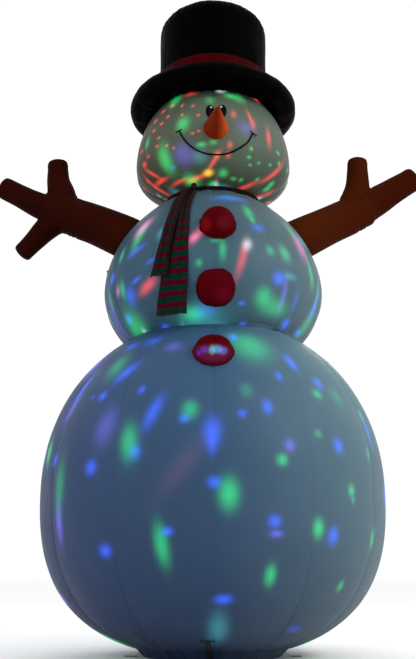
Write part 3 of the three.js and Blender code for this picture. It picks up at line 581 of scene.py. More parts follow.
# ------------------------------------------------------------------ light spots on the balls
LIGHT = {
    "g": (0.01, 0.62, 0.14), "b": (0.03, 0.10, 1.0), "v": (0.16, 0.10, 0.80), "c": (0.08, 0.55, 0.65), "p": (0.85, 0.22, 0.62),
    "r": (1.0, 0.05, 0.04), "o": (1.0, 0.22, 0.02), "y": (1.0, 0.62, 0.02), "w": (0.75, 0.80, 0.95),
}
BOTTOM_SPOTS = [
    (-39.8, 2.26, 0.084, 0.119, 0, 'g', 0.35), (-33.1, 2.19, 0.043, 0.111, 35, 'b', 0.7), (-23.8, 2.01, 0.027, 0.036, 20, 'b', 0.7), (-39.7, 2.0, 0.036, 0.039, 20, 'b', 0.75),
    (-56.9, 2.13, 0.04, 0.128, 30, 'b', 0.8), (-57.9, 1.96, 0.06, 0.136, 25, 'v', 0.55), (-18.3, 1.82, 0.045, 0.13, 22, 'b', 0.75), (-34.7, 1.74, 0.083, 0.137, 12, 'v', 0.4),
    (-6.9, 1.83, 0.054, 0.068, 0, 'g', 0.6), (-8.5, 1.76, 0.031, 0.032, 0, 'b', 0.8), (-25.3, 1.6, 0.065, 0.125, -5, 'g', 0.65), (-22.9, 1.52, 0.041, 0.05, 0, 'b', 0.7),
    (-0.2, 1.66, 0.061, 0.105, 0, 'b', 0.8), (-0.2, 1.56, 0.031, 0.073, 0, 'b', 0.4), (8.8, 1.8, 0.027, 0.033, 0, 'b', 0.7), (16.8, 1.86, 0.035, 0.056, 0, 'b', 0.85),
    (23.2, 2.13, 0.024, 0.042, 0, 'b', 0.8), (31.4, 2.28, 0.037, 0.085, -10, 'b', 0.8), (40.0, 2.11, 0.044, 0.052, 0, 'b', 0.7), (37.2, 2.01, 0.039, 0.039, 0, 'g', 0.6),
    (10.7, 1.99, 0.044, 0.061, 0, 'g', 0.25), (22.7, 1.57, 0.04, 0.045, 0, 'v', 0.7), (20.0, 1.46, 0.038, 0.041, 0, 'g', 0.8), (40.7, 1.6, 0.045, 0.056, -8, 'b', 0.8),
    (33.2, 1.68, 0.03, 0.029, 0, 'g', 0.4), (-38.4, 1.43, 0.049, 0.05, 0, 'b', 0.85), (-59.7, 1.54, 0.033, 0.047, 10, 'b', 0.9), (-54.0, 1.32, 0.066, 0.178, 3, 'g', 0.35),
    (-54.5, 1.04, 0.045, 0.141, 0, 'v', 0.7), (0.3, 1.29, 0.043, 0.04, 0, 'b', 0.75), (4.4, 1.21, 0.066, 0.102, 0, 'g', 0.85), (17.6, 1.02, 0.043, 0.042, 10, 'b', 0.85),
    (18.2, 0.93, 0.049, 0.027, 0, 'v', 0.45), (32.1, 0.98, 0.041, 0.065, 0, 'g', 0.85), (37.7, 0.93, 0.045, 0.061, 5, 'b', 0.8), (45.5, 1.27, 0.031, 0.042, 0, 'g', 0.8),
    (46.4, 1.2, 0.018, 0.025, 0, 'g', 0.4), (59.7, 0.92, 0.033, 0.069, 0, 'g', 0.6), (-14.7, 0.86, 0.044, 0.133, -8, 'g', 0.75), (-12.8, 0.95, 0.034, 0.029, 0, 'b', 0.9),
    (-33.5, 0.82, 0.047, 0.044, 0, 'b', 0.85), (17.4, 0.65, 0.036, 0.072, 0, 'g', 0.8), (46.1, 0.57, 0.025, 0.043, 0, 'g', 0.6), (3.3, 0.48, 0.057, 0.037, -8, 'b', 0.85),
    (2.1, 0.27, 0.067, 0.168, 0, 'c', 0.3), (15.4, 2.4, 0.144, 0.167, -20, 'g', 0.6), (9.4, 2.49, 0.028, 0.055, 0, 'b', 0.8), (-8.7, 1.41, 0.073, 0.247, 38, 'p', 0.05),
    (62.5, 1.79, 0.033, 0.115, 0, 'b', 0.6), (57.8, 1.58, 0.027, 0.052, 0, 'g', 0.4), (-40.8, 2.47, 0.065, 0.047, 0, 'b', 0.5), (-16.7, 2.4, 0.071, 0.059, 30, 'v', 0.35),
    (-29.5, 2.5, 0.073, 0.067, 20, 'b', 0.4), (18.2, 0.94, 0.039, 0.016, 0, 'b', 0.4), (35.0, 0.26, 0.052, 0.039, 0, 'b', 0.3), (47.3, 2.02, 0.067, 0.081, 0, 'g', 0.2),
    (-44.8, 2.01, 0.024, 0.02, 0, 'b', 0.4), (62.2, 1.92, 0.033, 0.045, 0, 'g', 0.35), (62.1, 1.0, 0.027, 0.014, 0, 'b', 0.4),
]
MIDDLE_SPOTS = [
    (-43.9, 3.58, 0.056, 0.096, 25, 'p', 0.75), (-43.7, 3.47, 0.045, 0.123, 10, 'g', 0.6), (-8.0, 3.39, 0.036, 0.105, 32, 'r', 0.5), (-9.2, 3.36, 0.034, 0.050, 32, 'p', 0.5),
    (14.0, 3.17, 0.029, 0.155, 15, 'r', 0.6), (16.8, 3.3, 0.036, 0.056, 20, 'w', 0.65), (4.6, 3.24, 0.027, 0.085, 0, 'g', 0.6), (21.8, 3.67, 0.039, 0.09, 0, 'g', 0.6),
    (22.7, 3.58, 0.022, 0.038, 0, 'g', 0.5), (24.7, 3.5, 0.05, 0.041, 0, 'b', 0.6), (13.2, 3.86, 0.12, 0.047, 0, 'c', 0.15), (12.4, 3.84, 0.140, 0.060, 0, 'b', 0.42),
    (53.8, 3.43, 0.073, 0.121, 0, 'p', 0.6), (38.0, 3.28, 0.047, 0.068, -20, 'g', 0.6), (29.3, 3.28, 0.035, 0.044, 0, 'g', 0.5), (59.4, 3.2, 0.04, 0.131, -8, 'g', 0.6),
    (33.7, 3.04, 0.054, 0.05, 0, 'b', 0.85), (38.2, 2.92, 0.022, 0.148, 0, 'v', 0.55), (47.1, 2.9, 0.025, 0.093, 0, 'b', 0.35), (68.1, 2.92, 0.033, 0.092, 0, 'b', 0.8),
    (47.4, 2.72, 0.037, 0.048, 0, 'b', 0.85), (26.5, 2.88, 0.07, 0.072, 0, 'g', 0.6), (34.2, 2.81, 0.123, 0.077, 0, 'g', 0.5), (15.1, 2.81, 0.026, 0.017, 0, 'b', 0.7),
    (18.1, 2.67, 0.029, 0.016, 0, 'b', 0.8), (-11.5, 2.73, 0.084, 0.062, 0, 'g', 0.6), (-33.8, 2.98, 0.04, 0.092, 60, 'r', 0.75), (-46.5, 2.94, 0.054, 0.074, 0, 'b', 0.6),
    (-51.9, 3.01, 0.034, 0.07, 0, 'g', 0.55), (-40.7, 3.05, 0.047, 0.017, -20, 'b', 0.8), (-56.4, 3.02, 0.029, 0.045, 15, 'p', 0.5), (-52.5, 2.7, 0.112, 0.157, 0, 'g', 0.6),
    (-48.2, 2.66, 0.02, 0.04, 0, 'w', 0.4), (-55.5, 2.78, 0.042, 0.037, 0, 'b', 0.7), (-62.3, 3.16, 0.033, 0.048, 15, 'b', 0.8), (-30.6, 2.66, 0.034, 0.033, -20, 'b', 0.7),
    (-4.4, 2.75, 0.082, 0.06, 0, 'b', 0.3), (-6.6, 3.12, 0.025, 0.032, 0, 'g', 0.5), (-42.3, 3.33, 0.088, 0.03, -25, 'b', 0.6), (-55.2, 3.35, 0.033, 0.063, 0, 'g', 0.6),
    (-31.7, 3.19, 0.045, 0.021, -25, 'b', 0.5), (68.7, 2.78, 0.067, 0.147, 0, 'g', 0.4), (66.2, 2.7, 0.058, 0.032, 0, 'b', 0.6), (-5.8, 2.68, 0.193, 0.167, 0, 'c', 0.3),
    (-18.8, 2.66, 0.014, 0.033, 0, 'g', 0.3), (62.7, 3.55, 0.1, 0.087, 0, 'c', 0.35), (40.4, 3.08, 0.063, 0.028, 0, 'c', 0.35), (-66.9, 2.99, 0.027, 0.106, 0, 'g', 0.35),
    (68.9, 3.06, 0.033, 0.094, 0, 'c', 0.4), (-70.7, 2.83, 0.067, 0.191, 10, 'v', 0.3), (-28.6, 3.45, 0.036, 0.059, 0, 'c', 0.3), (1.0, 3.33, 0.041, 0.024, 0, 'g', 0.4),
    (51.2, 3.59, 0.047, 0.1, 0, 'g', 0.4),
]
HEAD_SPOTS = [
    (-35.4, 4.9, 0.051, 0.086, 0, 'g', 0.7), (14.7, 4.89, 0.053, 0.04, 0, 'g', 0.7), (22.2, 4.87, 0.06, 0.058, 0, 'g', 0.5), (-22.0, 4.56, 0.057, 0.073, 0, 'g', 0.75),
    (-38.3, 4.27, 0.06, 0.128, 0, 'g', 0.75), (-23.8, 4.11, 0.062, 0.076, 0, 'g', 0.75), (-8.1, 4.33, 0.038, 0.021, 0, 'g', 0.7), (0.2, 4.35, 0.029, 0.024, 0, 'g', 0.5),
    (9.7, 4.14, 0.036, 0.042, 0, 'g', 0.7), (11.9, 4.33, 0.021, 0.029, 0, 'r', 0.7), (11.2, 4.25, 0.021, 0.027, 0, 'r', 0.6), (-4.4, 4.14, 0.039, 0.034, -15, 'y', 1.0),
    (0.5, 4.2, 0.018, 0.096, 30, 'r', 0.75), (3.0, 4.25, 0.029, 0.03, 0, 'o', 0.5), (-57.2, 4.16, 0.094, 0.02, 0, 'r', 0.75), (-58.5, 4.22, 0.02, 0.094, -35, 'r', 0.75),
    (-69.3, 4.14, 0.019, 0.15, 0, 'r', 0.7), (-38.4, 4.12, 0.096, 0.02, -5, 'r', 0.6), (-16.8, 4.12, 0.092, 0.024, -20, 'r', 0.75), (-61.7, 4.32, 0.03, 0.023, 0, 'r', 0.8),
    (-54.5, 4.36, 0.023, 0.015, 0, 'r', 0.6), (-69.9, 4.21, 0.021, 0.025, 0, 'r', 0.4), (28.4, 4.66, 0.019, 0.07, -10, 'r', 0.7), (43.6, 4.5, 0.025, 0.088, 0, 'r', 0.75),
    (58.1, 4.22, 0.028, 0.133, 22, 'r', 0.75), (41.5, 4.1, 0.023, 0.104, 30, 'r', 0.7), (68.2, 4.14, 0.03, 0.04, 0, 'g', 0.7), (65.9, 4.17, 0.027, 0.031, 0, 'g', 0.7),
    (28.3, 4.33, 0.017, 0.017, 0, 'g', 0.8), (28.0, 4.26, 0.02, 0.013, 0, 'g', 0.8), (53.8, 4.39, 0.026, 0.016, 0, 'g', 0.7), (57.6, 4.31, 0.022, 0.018, 0, 'g', 0.7),
    (37.7, 4.24, 0.013, 0.014, 0, 'g', 0.7), (31.2, 4.21, 0.015, 0.013, 0, 'g', 0.6), (48.6, 4.26, 0.016, 0.014, 0, 'g', 0.7), (73.6, 4.33, 0.02, 0.031, 0, 'g', 0.6),
    (24.3, 4.52, 0.08, 0.07, 0, 'v', 0.3), (-22.1, 4.27, 0.087, 0.093, 0, 'v', 0.4), (-56.8, 4.51, 0.04, 0.05, 0, 'g', 0.5), (7.2, 4.96, 0.036, 0.04, 0, 'w', 0.6),
    (0.4, 4.09, 0.04, 0.031, 0, 'g', 0.8), (4.0, 4.07, 0.018, 0.1, 0, 'p', 0.6), (-21.0, 4.93, 0.055, 0.033, 0, 'r', 0.5), (-2.4, 4.81, 0.039, 0.049, 0, 'g', 0.35),
    (15.0, 4.65, 0.022, 0.04, 0, 'r', 0.6), (45.4, 4.96, 0.04, 0.04, 0, 'r', 0.6), (30.4, 4.59, 0.024, 0.057, 0, 'r', 0.5), (21.5, 4.12, 0.025, 0.02, 0, 'g', 0.5),
    (46.0, 4.15, 0.017, 0.022, 0, 'g', 0.5), (30.5, 4.12, 0.017, 0.021, 0, 'g', 0.6), (-34.5, 4.2, 0.017, 0.017, 0, 'b', 0.5), (-9.8, 4.24, 0.06, 0.062, 0, 'c', 0.25),
    (9.4, 4.08, 0.093, 0.033, 0, 'c', 0.3), (75.5, 4.1, 0.041, 0.053, 0, 'r', 0.4), (61.1, 4.07, 0.032, 0.033, 0, 'b', 0.4), (-56.2, 4.09, 0.051, 0.059, 0, 'c', 0.25),
    (-44.6, 4.8, 0.023, 0.022, 0, 'r', 0.9), (-35.8, 4.83, 0.018, 0.021, 0, 'r', 0.9), (-25.4, 4.79, 0.013, 0.019, 0, 'r', 0.9), (-15.5, 4.75, 0.012, 0.016, 0, 'r', 0.9),
    (-51.1, 4.72, 0.023, 0.021, 0, 'r', 0.9), (-41.8, 4.64, 0.018, 0.016, 0, 'r', 0.9), (-49.3, 4.6, 0.021, 0.016, 0, 'r', 0.9), (-42.2, 4.49, 0.017, 0.013, 0, 'r', 0.9),
    (-36.7, 4.7, 0.017, 0.016, 0, 'r', 0.9), (-29.0, 4.34, 0.012, 0.012, 0, 'r', 0.9), (-34.3, 4.38, 0.013, 0.012, 0, 'r', 0.9), (-23.7, 4.67, 0.012, 0.015, 0, 'r', 0.9),
    (-43.7, 4.41, 0.016, 0.012, 0, 'r', 0.9), (-64.5, 4.47, 0.023, 0.013, 0, 'r', 0.9), (-10.7, 4.63, 0.012, 0.014, 0, 'r', 0.9), (-14.2, 4.44, 0.012, 0.012, 0, 'r', 0.9),
    (-10.0, 4.46, 0.012, 0.012, 0, 'r', 0.9),
]



def rear_spots(ball, count, size, mix, front_limit, seed):
    """Spots for the part of a ball that the front lists leave empty."""
    g = np.random.default_rng(seed)
    out = []
    names = list(mix)
    p = np.array([mix[n] for n in names], float)
    p /= p.sum()
    for _ in range(count):
        az = g.uniform(front_limit, 360 - front_limit)
        z = ball.z_of(ball.length * g.uniform(0.06, 0.96))
        w = size * g.uniform(0.5, 1.7)
        out.append((az, float(z), w, w * g.uniform(0.8, 2.6), g.uniform(-25, 25), names[g.choice(len(names), p=p)], g.uniform(0.35, 0.9)))
    return out


def glow_field(ball, az, z, spots):
    """Light thrown on the fabric by the pod inside, at each vertex."""
    out = np.zeros((len(az), 3))
    r, s = ball.rf(z), ball.s_of(z)
    for a0, z0, w, h, tilt, colour, power in spots:
        d = (az - math.radians(a0) + math.pi) % (2 * math.pi) - math.pi
        x, y = d * r, s - ball.s_of(z0)
        near = (np.abs(x) < 3.2 * max(w, h)) & (np.abs(y) < 3.2 * max(w, h))
        if not near.any():
            continue
        t = math.radians(tilt)
        u = x[near] * math.cos(t) - y[near] * math.sin(t)
        v = x[near] * math.sin(t) + y[near] * math.cos(t)
        q = (u / (w * 0.78)) ** 2 + (v / (h * 0.78)) ** 2
        f = np.exp(-0.5 * q**1.15)
        out[near] += power * f[:, None] * np.array(LIGHT[colour])
    return np.minimum(out, 1.6)


def lin(c):
    c = np.asarray(c, float) / 255
    return np.where(c < 0.04045, c / 12.92, ((c + 0.055) / 1.055) ** 2.4)


def shaded_tint_field(name, az, z):
    """Base colour of the lit fabric, with painted shade: cooler and darker on the left side, greyer and lighter on the
    right, darker towards the bottom.
    """
    side = np.sin(az)
    right = np.clip(side, 0, 1)[:, None] ** 1.2
    left = np.clip(-side, 0, 1)[:, None] ** 1.2
    back = np.clip(-np.cos(az), 0, 1)[:, None]
    pal = SHADED_TINTS[name]
    c = pal["mid"] * np.ones((len(az), 3))
    c = c * (1 - left) + pal["left"] * left
    c = c * (1 - right) + pal["right"] * right
    c = c * (1 - 0.5 * back) + pal["mid"] * 0.5 * back
    lo, hi = pal["z"]
    t = np.clip((z - lo) / (hi - lo), 0, 1)[:, None]
    return c * (pal["low"] * (1 - t) + pal["high"] * t)


# Painted shade: each ball's fabric colour is painted darker on its left side and low down, and lighter on its right
# side and high up.
SHADED_TINTS = {
    "bottom": {"left": 0.39 * lin((66, 90, 142)), "mid": 0.66 * lin((60, 84, 116)), "right": 0.70 * lin((112, 130, 138)), "z": (0.2, 2.5), "low": np.array([0.58, 0.66, 0.76]), "high": np.array([0.98, 1.35, 1.32])},
    "middle": {"left": 0.42 * lin((70, 105, 140)), "mid": 0.43 * lin((84, 122, 144)), "right": 0.57 * lin((112, 130, 142)), "z": (2.7, 4.0), "low": np.array([0.80, 1.0, 1.05]), "high": np.array([1.0, 1.05, 0.92])},
    "head": {"left": 0.36 * lin((98, 96, 76)), "mid": 0.60 * lin((98, 112, 96)), "right": 0.64 * lin((96, 108, 98)), "z": (4.1, 5.0), "low": np.array([0.95, 0.95, 0.90]), "high": np.array([1.05, 1.15, 1.15])},
}
GAIN = {"bottom": 1.0, "middle": 1.0, "head": 1.0}

REAR = {
    "bottom": rear_spots(BALLS["bottom"], 90, 0.045, {"b": 5, "g": 3, "v": 2}, 66, 401),
    "middle": rear_spots(BALLS["middle"], 60, 0.040, {"b": 3, "g": 4, "p": 2, "r": 1, "c": 2}, 74, 402),
    "head": rear_spots(BALLS["head"], 90, 0.022, {"g": 5, "r": 5, "o": 1, "c": 1}, 78, 403),
}
SPOTS = {"bottom": BOTTOM_SPOTS + REAR["bottom"], "middle": MIDDLE_SPOTS + REAR["middle"], "head": HEAD_SPOTS + REAR["head"]}

# ------------------------------------------------------------------ the three balls
HOLE_P = Vector((0, float(r_bottom(0.55)), 0.55))
OUT = Vector((0, math.sin(math.radians(120.5)), math.cos(math.radians(120.5))))
HOLE_R = 0.1515


def gore_mesh(key, name, rows, per, k0, k1, node, hole=False):
    """Gores k0 to k1 of a ball as one skin; a column falls on every seam."""
    ball = BALLS[key]
    t = np.linspace(-1, 1, per + 1)
    u = np.sign(t) * (1 - (1 - np.abs(t)) ** 1.25)
    az = np.concatenate([(k + 0.5) * GORE + u[:-1] * GORE / 2 for k in range(k0, k1)])
    wrap = k1 - k0 == 12
    if not wrap:
        az = np.append(az, k1 * GORE)
    s = np.linspace(0, ball.length, rows)
    z = ball.z_of(s)
    A, Z = np.meshgrid(az, z)
    co = ball.point(A.ravel(), Z.ravel())
    quads = quad_faces(rows, len(az), wrap)
    keep = None
    if hole:
        rel = co - np.array(HOLE_P)
        along = rel @ np.array(OUT)
        rad = rel - along[:, None] * np.array(OUT)
        d = np.linalg.norm(rad, axis=1)
        near = (np.abs(along) < 0.3) & (d < HOLE_R)
        snap = near & (d > HOLE_R - 0.034)
        co[snap] += rad[snap] * (HOLE_R / d[snap] - 1)[:, None]
        keep = ~(near & ~snap)[quads].any(1)
    o, used = fast_mesh(name, co, quads, MAT["ball"], keep)
    a, zz = A.ravel()[used], Z.ravel()[used]
    if len(a) != len(o.data.vertices):
        raise RuntimeError("ball mesh lost vertices")
    # the base colour carries the balls' painted shade, darker on the left and low down
    color_attr(o, "Tint", shaded_tint_field(key, a, zz) * GAIN[key])
    color_attr(o, "Glow", glow_field(ball, a, zz, SPOTS[key]))
    put(o, "ball_fabric", node)
    return o


q = 1.0
gore_mesh("bottom", "bottom_ball_front_gores", int(440 * q), int(30 * q), -3, 3, "bottom_ball_skin")
gore_mesh("bottom", "bottom_ball_rear_gores", int(440 * q), int(30 * q), 3, 9, "bottom_ball_skin", hole=True)
gore_mesh("middle", "middle_ball_gores", int(250 * q), int(28 * q), 0, 12, "middle_ball_skin")
gore_mesh("head", "head_gores", int(210 * q), int(30 * q), 0, 12, "head_skin")


# ------------------------------------------------------------------ cloth swelling
def swell(o, pinned, pressure=4.0, grow=0.04, cap=0.022, frames=20, stiff=30.0, bend=0.4, self_gap=None):
    """Inflates a closed or sewn-down fabric shell, holding the pinned vertices; no point moves past the cap."""
    rest = coords_of(o)
    g = o.vertex_groups.new(name="pin")
    g.add([int(i) for i in np.nonzero(pinned)[0]], 1.0, "REPLACE")
    m = o.modifiers.new("Cloth", "CLOTH")
    c = m.settings
    c.quality = 6
    c.mass = 0.15
    c.tension_stiffness = c.compression_stiffness = stiff
    c.shear_stiffness = stiff * 0.4
    c.bending_stiffness = bend
    c.tension_damping = c.compression_damping = c.shear_damping = 8
    c.vertex_group_mass = "pin"
    c.use_pressure = True
    c.uniform_pressure_force = pressure
    c.shrink_min = c.shrink_max = -grow
    c.effector_weights.gravity = 0
    m.collision_settings.use_collision = False
    m.collision_settings.use_self_collision = False
    m.point_cache.frame_start, m.point_cache.frame_end = 1, frames
    for f in range(1, frames + 1):
        scene.frame_set(f)
    dg = bpy.context.evaluated_depsgraph_get()
    ev = o.evaluated_get(dg)
    me = ev.to_mesh()
    got = np.zeros(len(me.vertices) * 3, np.float32)
    me.vertices.foreach_get("co", got)
    got = got.reshape(-1, 3).astype(float)
    ev.to_mesh_clear()
    o.modifiers.clear()
    o.vertex_groups.clear()
    scene.frame_set(1)
    if len(got) != len(rest) or not np.isfinite(got).all():
        return rest
    move = got - rest
    n = np.linalg.norm(move, axis=1)
    move *= np.minimum(1, cap / np.maximum(n, 1e-9))[:, None]
    out = rest + move
    set_coords(o, out)
    return out


def inflate(co_fn_obj, pinned, **kw):
    return swell(co_fn_obj, pinned, **kw)


def ball_gap(key, pts):
    """Rough distance of points from a ball's fabric, above zero outside."""
    ball = BALLS[key]
    p = np.asarray(pts, float)
    rho = np.hypot(p[:, 0], p[:, 1])
    az = np.arctan2(p[:, 0], -p[:, 1])
    z = np.clip(p[:, 2], ball.z0 + 1e-4, ball.z1 - 1e-4)
    e = ball.normal_tilt(z)
    f = (rho - ball.rf(z)) * np.cos(e) + (p[:, 2] - z) * np.sin(e)
    n = np.stack([np.cos(e) * np.sin(az), -np.cos(e) * np.cos(az), np.sin(e)], -1)
    # one step towards the true nearest height
    z2 = np.clip(z - f * np.sin(e), ball.z0 + 1e-4, ball.z1 - 1e-4)
    e2 = ball.normal_tilt(z2)
    f2 = (rho - ball.rf(z2)) * np.cos(e2) + (p[:, 2] - z2) * np.sin(e2)
    n2 = np.stack([np.cos(e2) * np.sin(az), -np.cos(e2) * np.cos(az), np.sin(e2)], -1)
    return f2 - ball.disp(az, z2), n2


def keep_off(key, pts, gap, start=None):
    """Lifts any point nearer to a ball than gap."""
    out = np.array(pts, float)
    for _ in range(3):
        f, n = ball_gap(key, out)
        low = f < gap
        out[low] += (gap - f[low])[:, None] * n[low]
    return out


# ------------------------------------------------------------------ buttons
def button(name, key, az_deg, z, depth, radius, seed, gathers, glow=None, tilt=0.0):
    """A gathered disc sewn down on its rim and swollen by the air behind it."""
    ball = BALLS[key]
    m = ball.frame_at(math.radians(az_deg), z)
    g = np.random.default_rng(seed)
    R, S = ((30, 168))
    th = np.linspace(0, 2 * np.pi, S, endpoint=False)
    knots = np.sort((np.arange(gathers) + g.uniform(-0.28, 0.28, gathers)) / gathers * 2 * np.pi)
    depthk = g.uniform(0.5, 1.2, gathers)
    pull = np.zeros(S)
    for a, w in zip(knots, depthk):
        d = (th - a + np.pi) % (2 * np.pi) - np.pi
        pull = np.maximum(pull, w * np.exp(-np.abs(d) / (0.34 * 2 * np.pi / gathers)))
    pull = (pull - pull.min()) / (pull.max() - pull.min())
    rows = []
    ts = np.linspace(0, 1, R)
    lift = 0.020
    top = math.acos(-lift / depth)
    for t in ts:
        a = t * top
        rr, zz = radius * abs(math.sin(a)) ** 0.94, lift + depth * math.copysign(abs(math.cos(a)) ** 0.86, math.cos(a))
        edge = t**4
        r_here = rr * (1 - 0.035 * pull * edge) if t else np.full(S, rr)
        z_here = zz - 0.010 * pull * np.sin(np.pi * min(1, t)) * t**2
        rows.append(np.stack([r_here * np.cos(th), r_here * np.sin(th), z_here + 0 * th], -1))
    P = np.vstack(rows[1:])
    M = np.array(m)
    loc = np.vstack([[[0, 0, depth + lift]], P])
    world = loc @ M[:3, :3].T + M[:3, 3]
    rim = np.zeros(len(world), bool)
    rim[-S:] = True
    # the rim lies on the ball
    for _ in range(4):
        f, n = ball_gap(key, world[rim])
        world[rim] -= (f - 0.0025)[:, None] * n
    world[~rim] = keep_off(key, world[~rim], 0.006)
    faces = [(0, 1 + (j + 1) % S, 1 + j)[::-1] for j in range(S)]
    for i in range(R - 2):
        for j in range(S):
            a, b = 1 + i * S + j, 1 + i * S + (j + 1) % S
            faces.append((a, a + S, b + S, b))
    o = link_mesh(name, world, faces, MAT["button"])
    got = inflate(o, rim, pressure=3.0, grow=0.05, cap=0.016, stiff=25, bend=0.15)
    got[~rim] = keep_off(key, got[~rim], 0.004)
    # flat back sewn on the ball
    verts, fc = [tuple(v) for v in got], list(faces)
    last = list(range(1 + (R - 2) * S, 1 + (R - 1) * S))
    base = np.array([got[i] for i in last])
    mid = base.mean(0)
    for k, share in enumerate((0.66, 0.33)):
        ring = mid + (base - mid) * share
        for _ in range(3):
            f, n = ball_gap(key, ring)
            ring = ring - (f - 0.0015)[:, None] * n
        start = len(verts)
        verts += [tuple(v) for v in ring]
        cur = list(range(start, start + S))
        for j in range(S):
            fc.append((last[j], cur[j], cur[(j + 1) % S], last[(j + 1) % S]))
        last = cur
    c = np.array([mid])
    f, n = ball_gap(key, c)
    c = c - (f - 0.0015)[:, None] * n
    verts.append(tuple(c[0]))
    for j in range(S):
        fc.append((last[j], len(verts) - 1, last[(j + 1) % S]))
    bpy.data.objects.remove(o)
    o = link_mesh(name, verts, fc, MAT["button"])
    local = (np.array(verts) - M[:3, 3]) @ M[:3, :3]
    light = np.zeros((len(verts), 3))
    # the inside light falls across the bulge, seen square to a plane tilted back by tilt
    across = local[:, 1] * math.cos(tilt) + local[:, 2] * math.sin(tilt)
    toward = local[:, 2] * math.cos(tilt) - local[:, 1] * math.sin(tilt)
    for x0, y0, w, h, col, power in glow or ():
        qd = ((local[:, 0] - x0) / w) ** 2 + ((across - y0) / h) ** 2
        light += (power * np.exp(-0.5 * qd**2.2) * np.clip(toward / 0.02, 0, 1))[:, None] * np.array(LIGHT[col] if isinstance(col, str) else col)
    color_attr(o, "Glow", light)
    put(o, "red_fabric", name.replace("_cover", ""))
    return o


button("button_top_cover", "middle", 2.5, 3.487, 0.160, 0.154, 7, 14, [(-0.10, 0.00, 0.035, 0.05, (0.10, 0.002, 0.001), 0.9), (0.05, 0.02, 0.06, 0.05, (0.03, 0.004, 0.006), 0.9)], tilt=0.8)
button("button_middle_cover", "middle", 1.3, 2.914, 0.124, 0.161, 8, 21, [(0.06, -0.05, 0.06, 0.06, (0.030, 0.002, 0.006), 0.9)])
button("button_bottom_cover", "bottom", 0.2, 2.334, 0.118, 0.166, 9, 17, [
    (0.000, 0.014, 0.122, 0.056, (0.050, 0.010, 0.036), 1.0), (-0.114, 0.013, 0.016, 0.016, (0.05, 0.01, 0.34), 1.0), (-0.062, 0.044, 0.036, 0.022, (0.02, 0.03, 0.26), 0.9),
    (-0.012, 0.044, 0.020, 0.028, (0.0, 0.36, 0.16), 0.8), (0.026, 0.048, 0.036, 0.024, (0.0, 0.26, 0.58), 0.9), (0.074, 0.034, 0.028, 0.024, (0.04, 0.12, 0.40), 0.8)], tilt=1.11)


# ------------------------------------------------------------------ nose
# Painted light on the nose: a darker orange for its shaded left side and a lighter orange for its lit right side.
NOSE_SHADE_AND_LIGHT = (1.35 * lin((98, 24, 3)), 1.65 * lin((150, 58, 14)))


def nose():
    az, z = math.radians(2.1), 4.486
    rot = Matrix.Rotation(az, 4, "Z") @ Matrix.Rotation(math.radians(88), 4, "X")
    rot.translation = Vector((float(r_head(z)) * math.sin(az), -float(r_head(z)) * math.cos(az), z))
    M = np.array(rot)
    prof = np.array([[0.110, -0.02], [0.107, 0.01], [0.098, 0.045], [0.083, 0.10], [0.064, 0.170], [0.044, 0.24], [0.024, 0.305], [0.013, 0.334], [0.004, 0.349]])
    k = smooth_path(np.column_stack([prof, np.zeros(len(prof))]), 64)
    S = 120
    th = np.linspace(0, 2 * np.pi, S, endpoint=False)
    rows = []
    for r, h, _ in k:
        w = 1 - 0.010 * (np.exp(-((np.sin(th - 0.4) / 0.05) ** 2)))   # lengthwise seam
        w = w + 0.012 * np.sin(11 * th + 1.3) * math.exp(-max(h, 0) / 0.030) + 0.006 * np.sin(23 * th) * math.exp(-max(h, 0) / 0.02)
        w = w + 0.010 * noise1(th * 3 + h * 18, 77)
        rows.append(np.stack([r * w * np.cos(th), r * w * np.sin(th), h + 0 * th], -1))
    loc = np.vstack(rows + [[[0, 0, 0.350]]])
    world = loc @ M[:3, :3].T + M[:3, 3]
    world = keep_off("head", world, 0.0015)
    n = len(k)
    faces = [tuple(f) for f in quad_faces(n, S, True)]
    faces += [((n - 1) * S + j, (n - 1) * S + (j + 1) % S, n * S) for j in range(S)]
    # closed across its base
    base = world[:S]
    mid = base.mean(0)
    verts = [tuple(v) for v in world]
    last = list(range(S))
    for share in (0.6, 0.25):
        ring = keep_off("head", mid + (base - mid) * share, 0.0012)
        f, nn = ball_gap("head", ring)
        ring = ring - (f - 0.0012)[:, None] * nn
        cur = list(range(len(verts), len(verts) + S))
        verts += [tuple(v) for v in ring]
        for j in range(S):
            faces.append((last[j], cur[j], cur[(j + 1) % S], last[(j + 1) % S])[::-1])
        last = cur
    verts.append(tuple(mid))
    faces += [(last[j], last[(j + 1) % S], len(verts) - 1)[::-1] for j in range(S)]
    o = link_mesh("nose_cover", verts, faces, MAT["nose"])
    loc = (np.array(verts) - M[:3, 3]) @ M[:3, :3]
    # painted light: the orange blends from the darker, shaded left side to the lighter, lit right side
    side = np.clip(loc[:, 0] / 0.11, -1, 1)[:, None]
    c = NOSE_SHADE_AND_LIGHT[0] * (1 - np.clip(side, 0, 1)) + NOSE_SHADE_AND_LIGHT[1] * np.clip(side, 0, 1)
    color_attr(o, "Tint", c)
    put(o, "orange_fabric", "nose_cone")


nose()


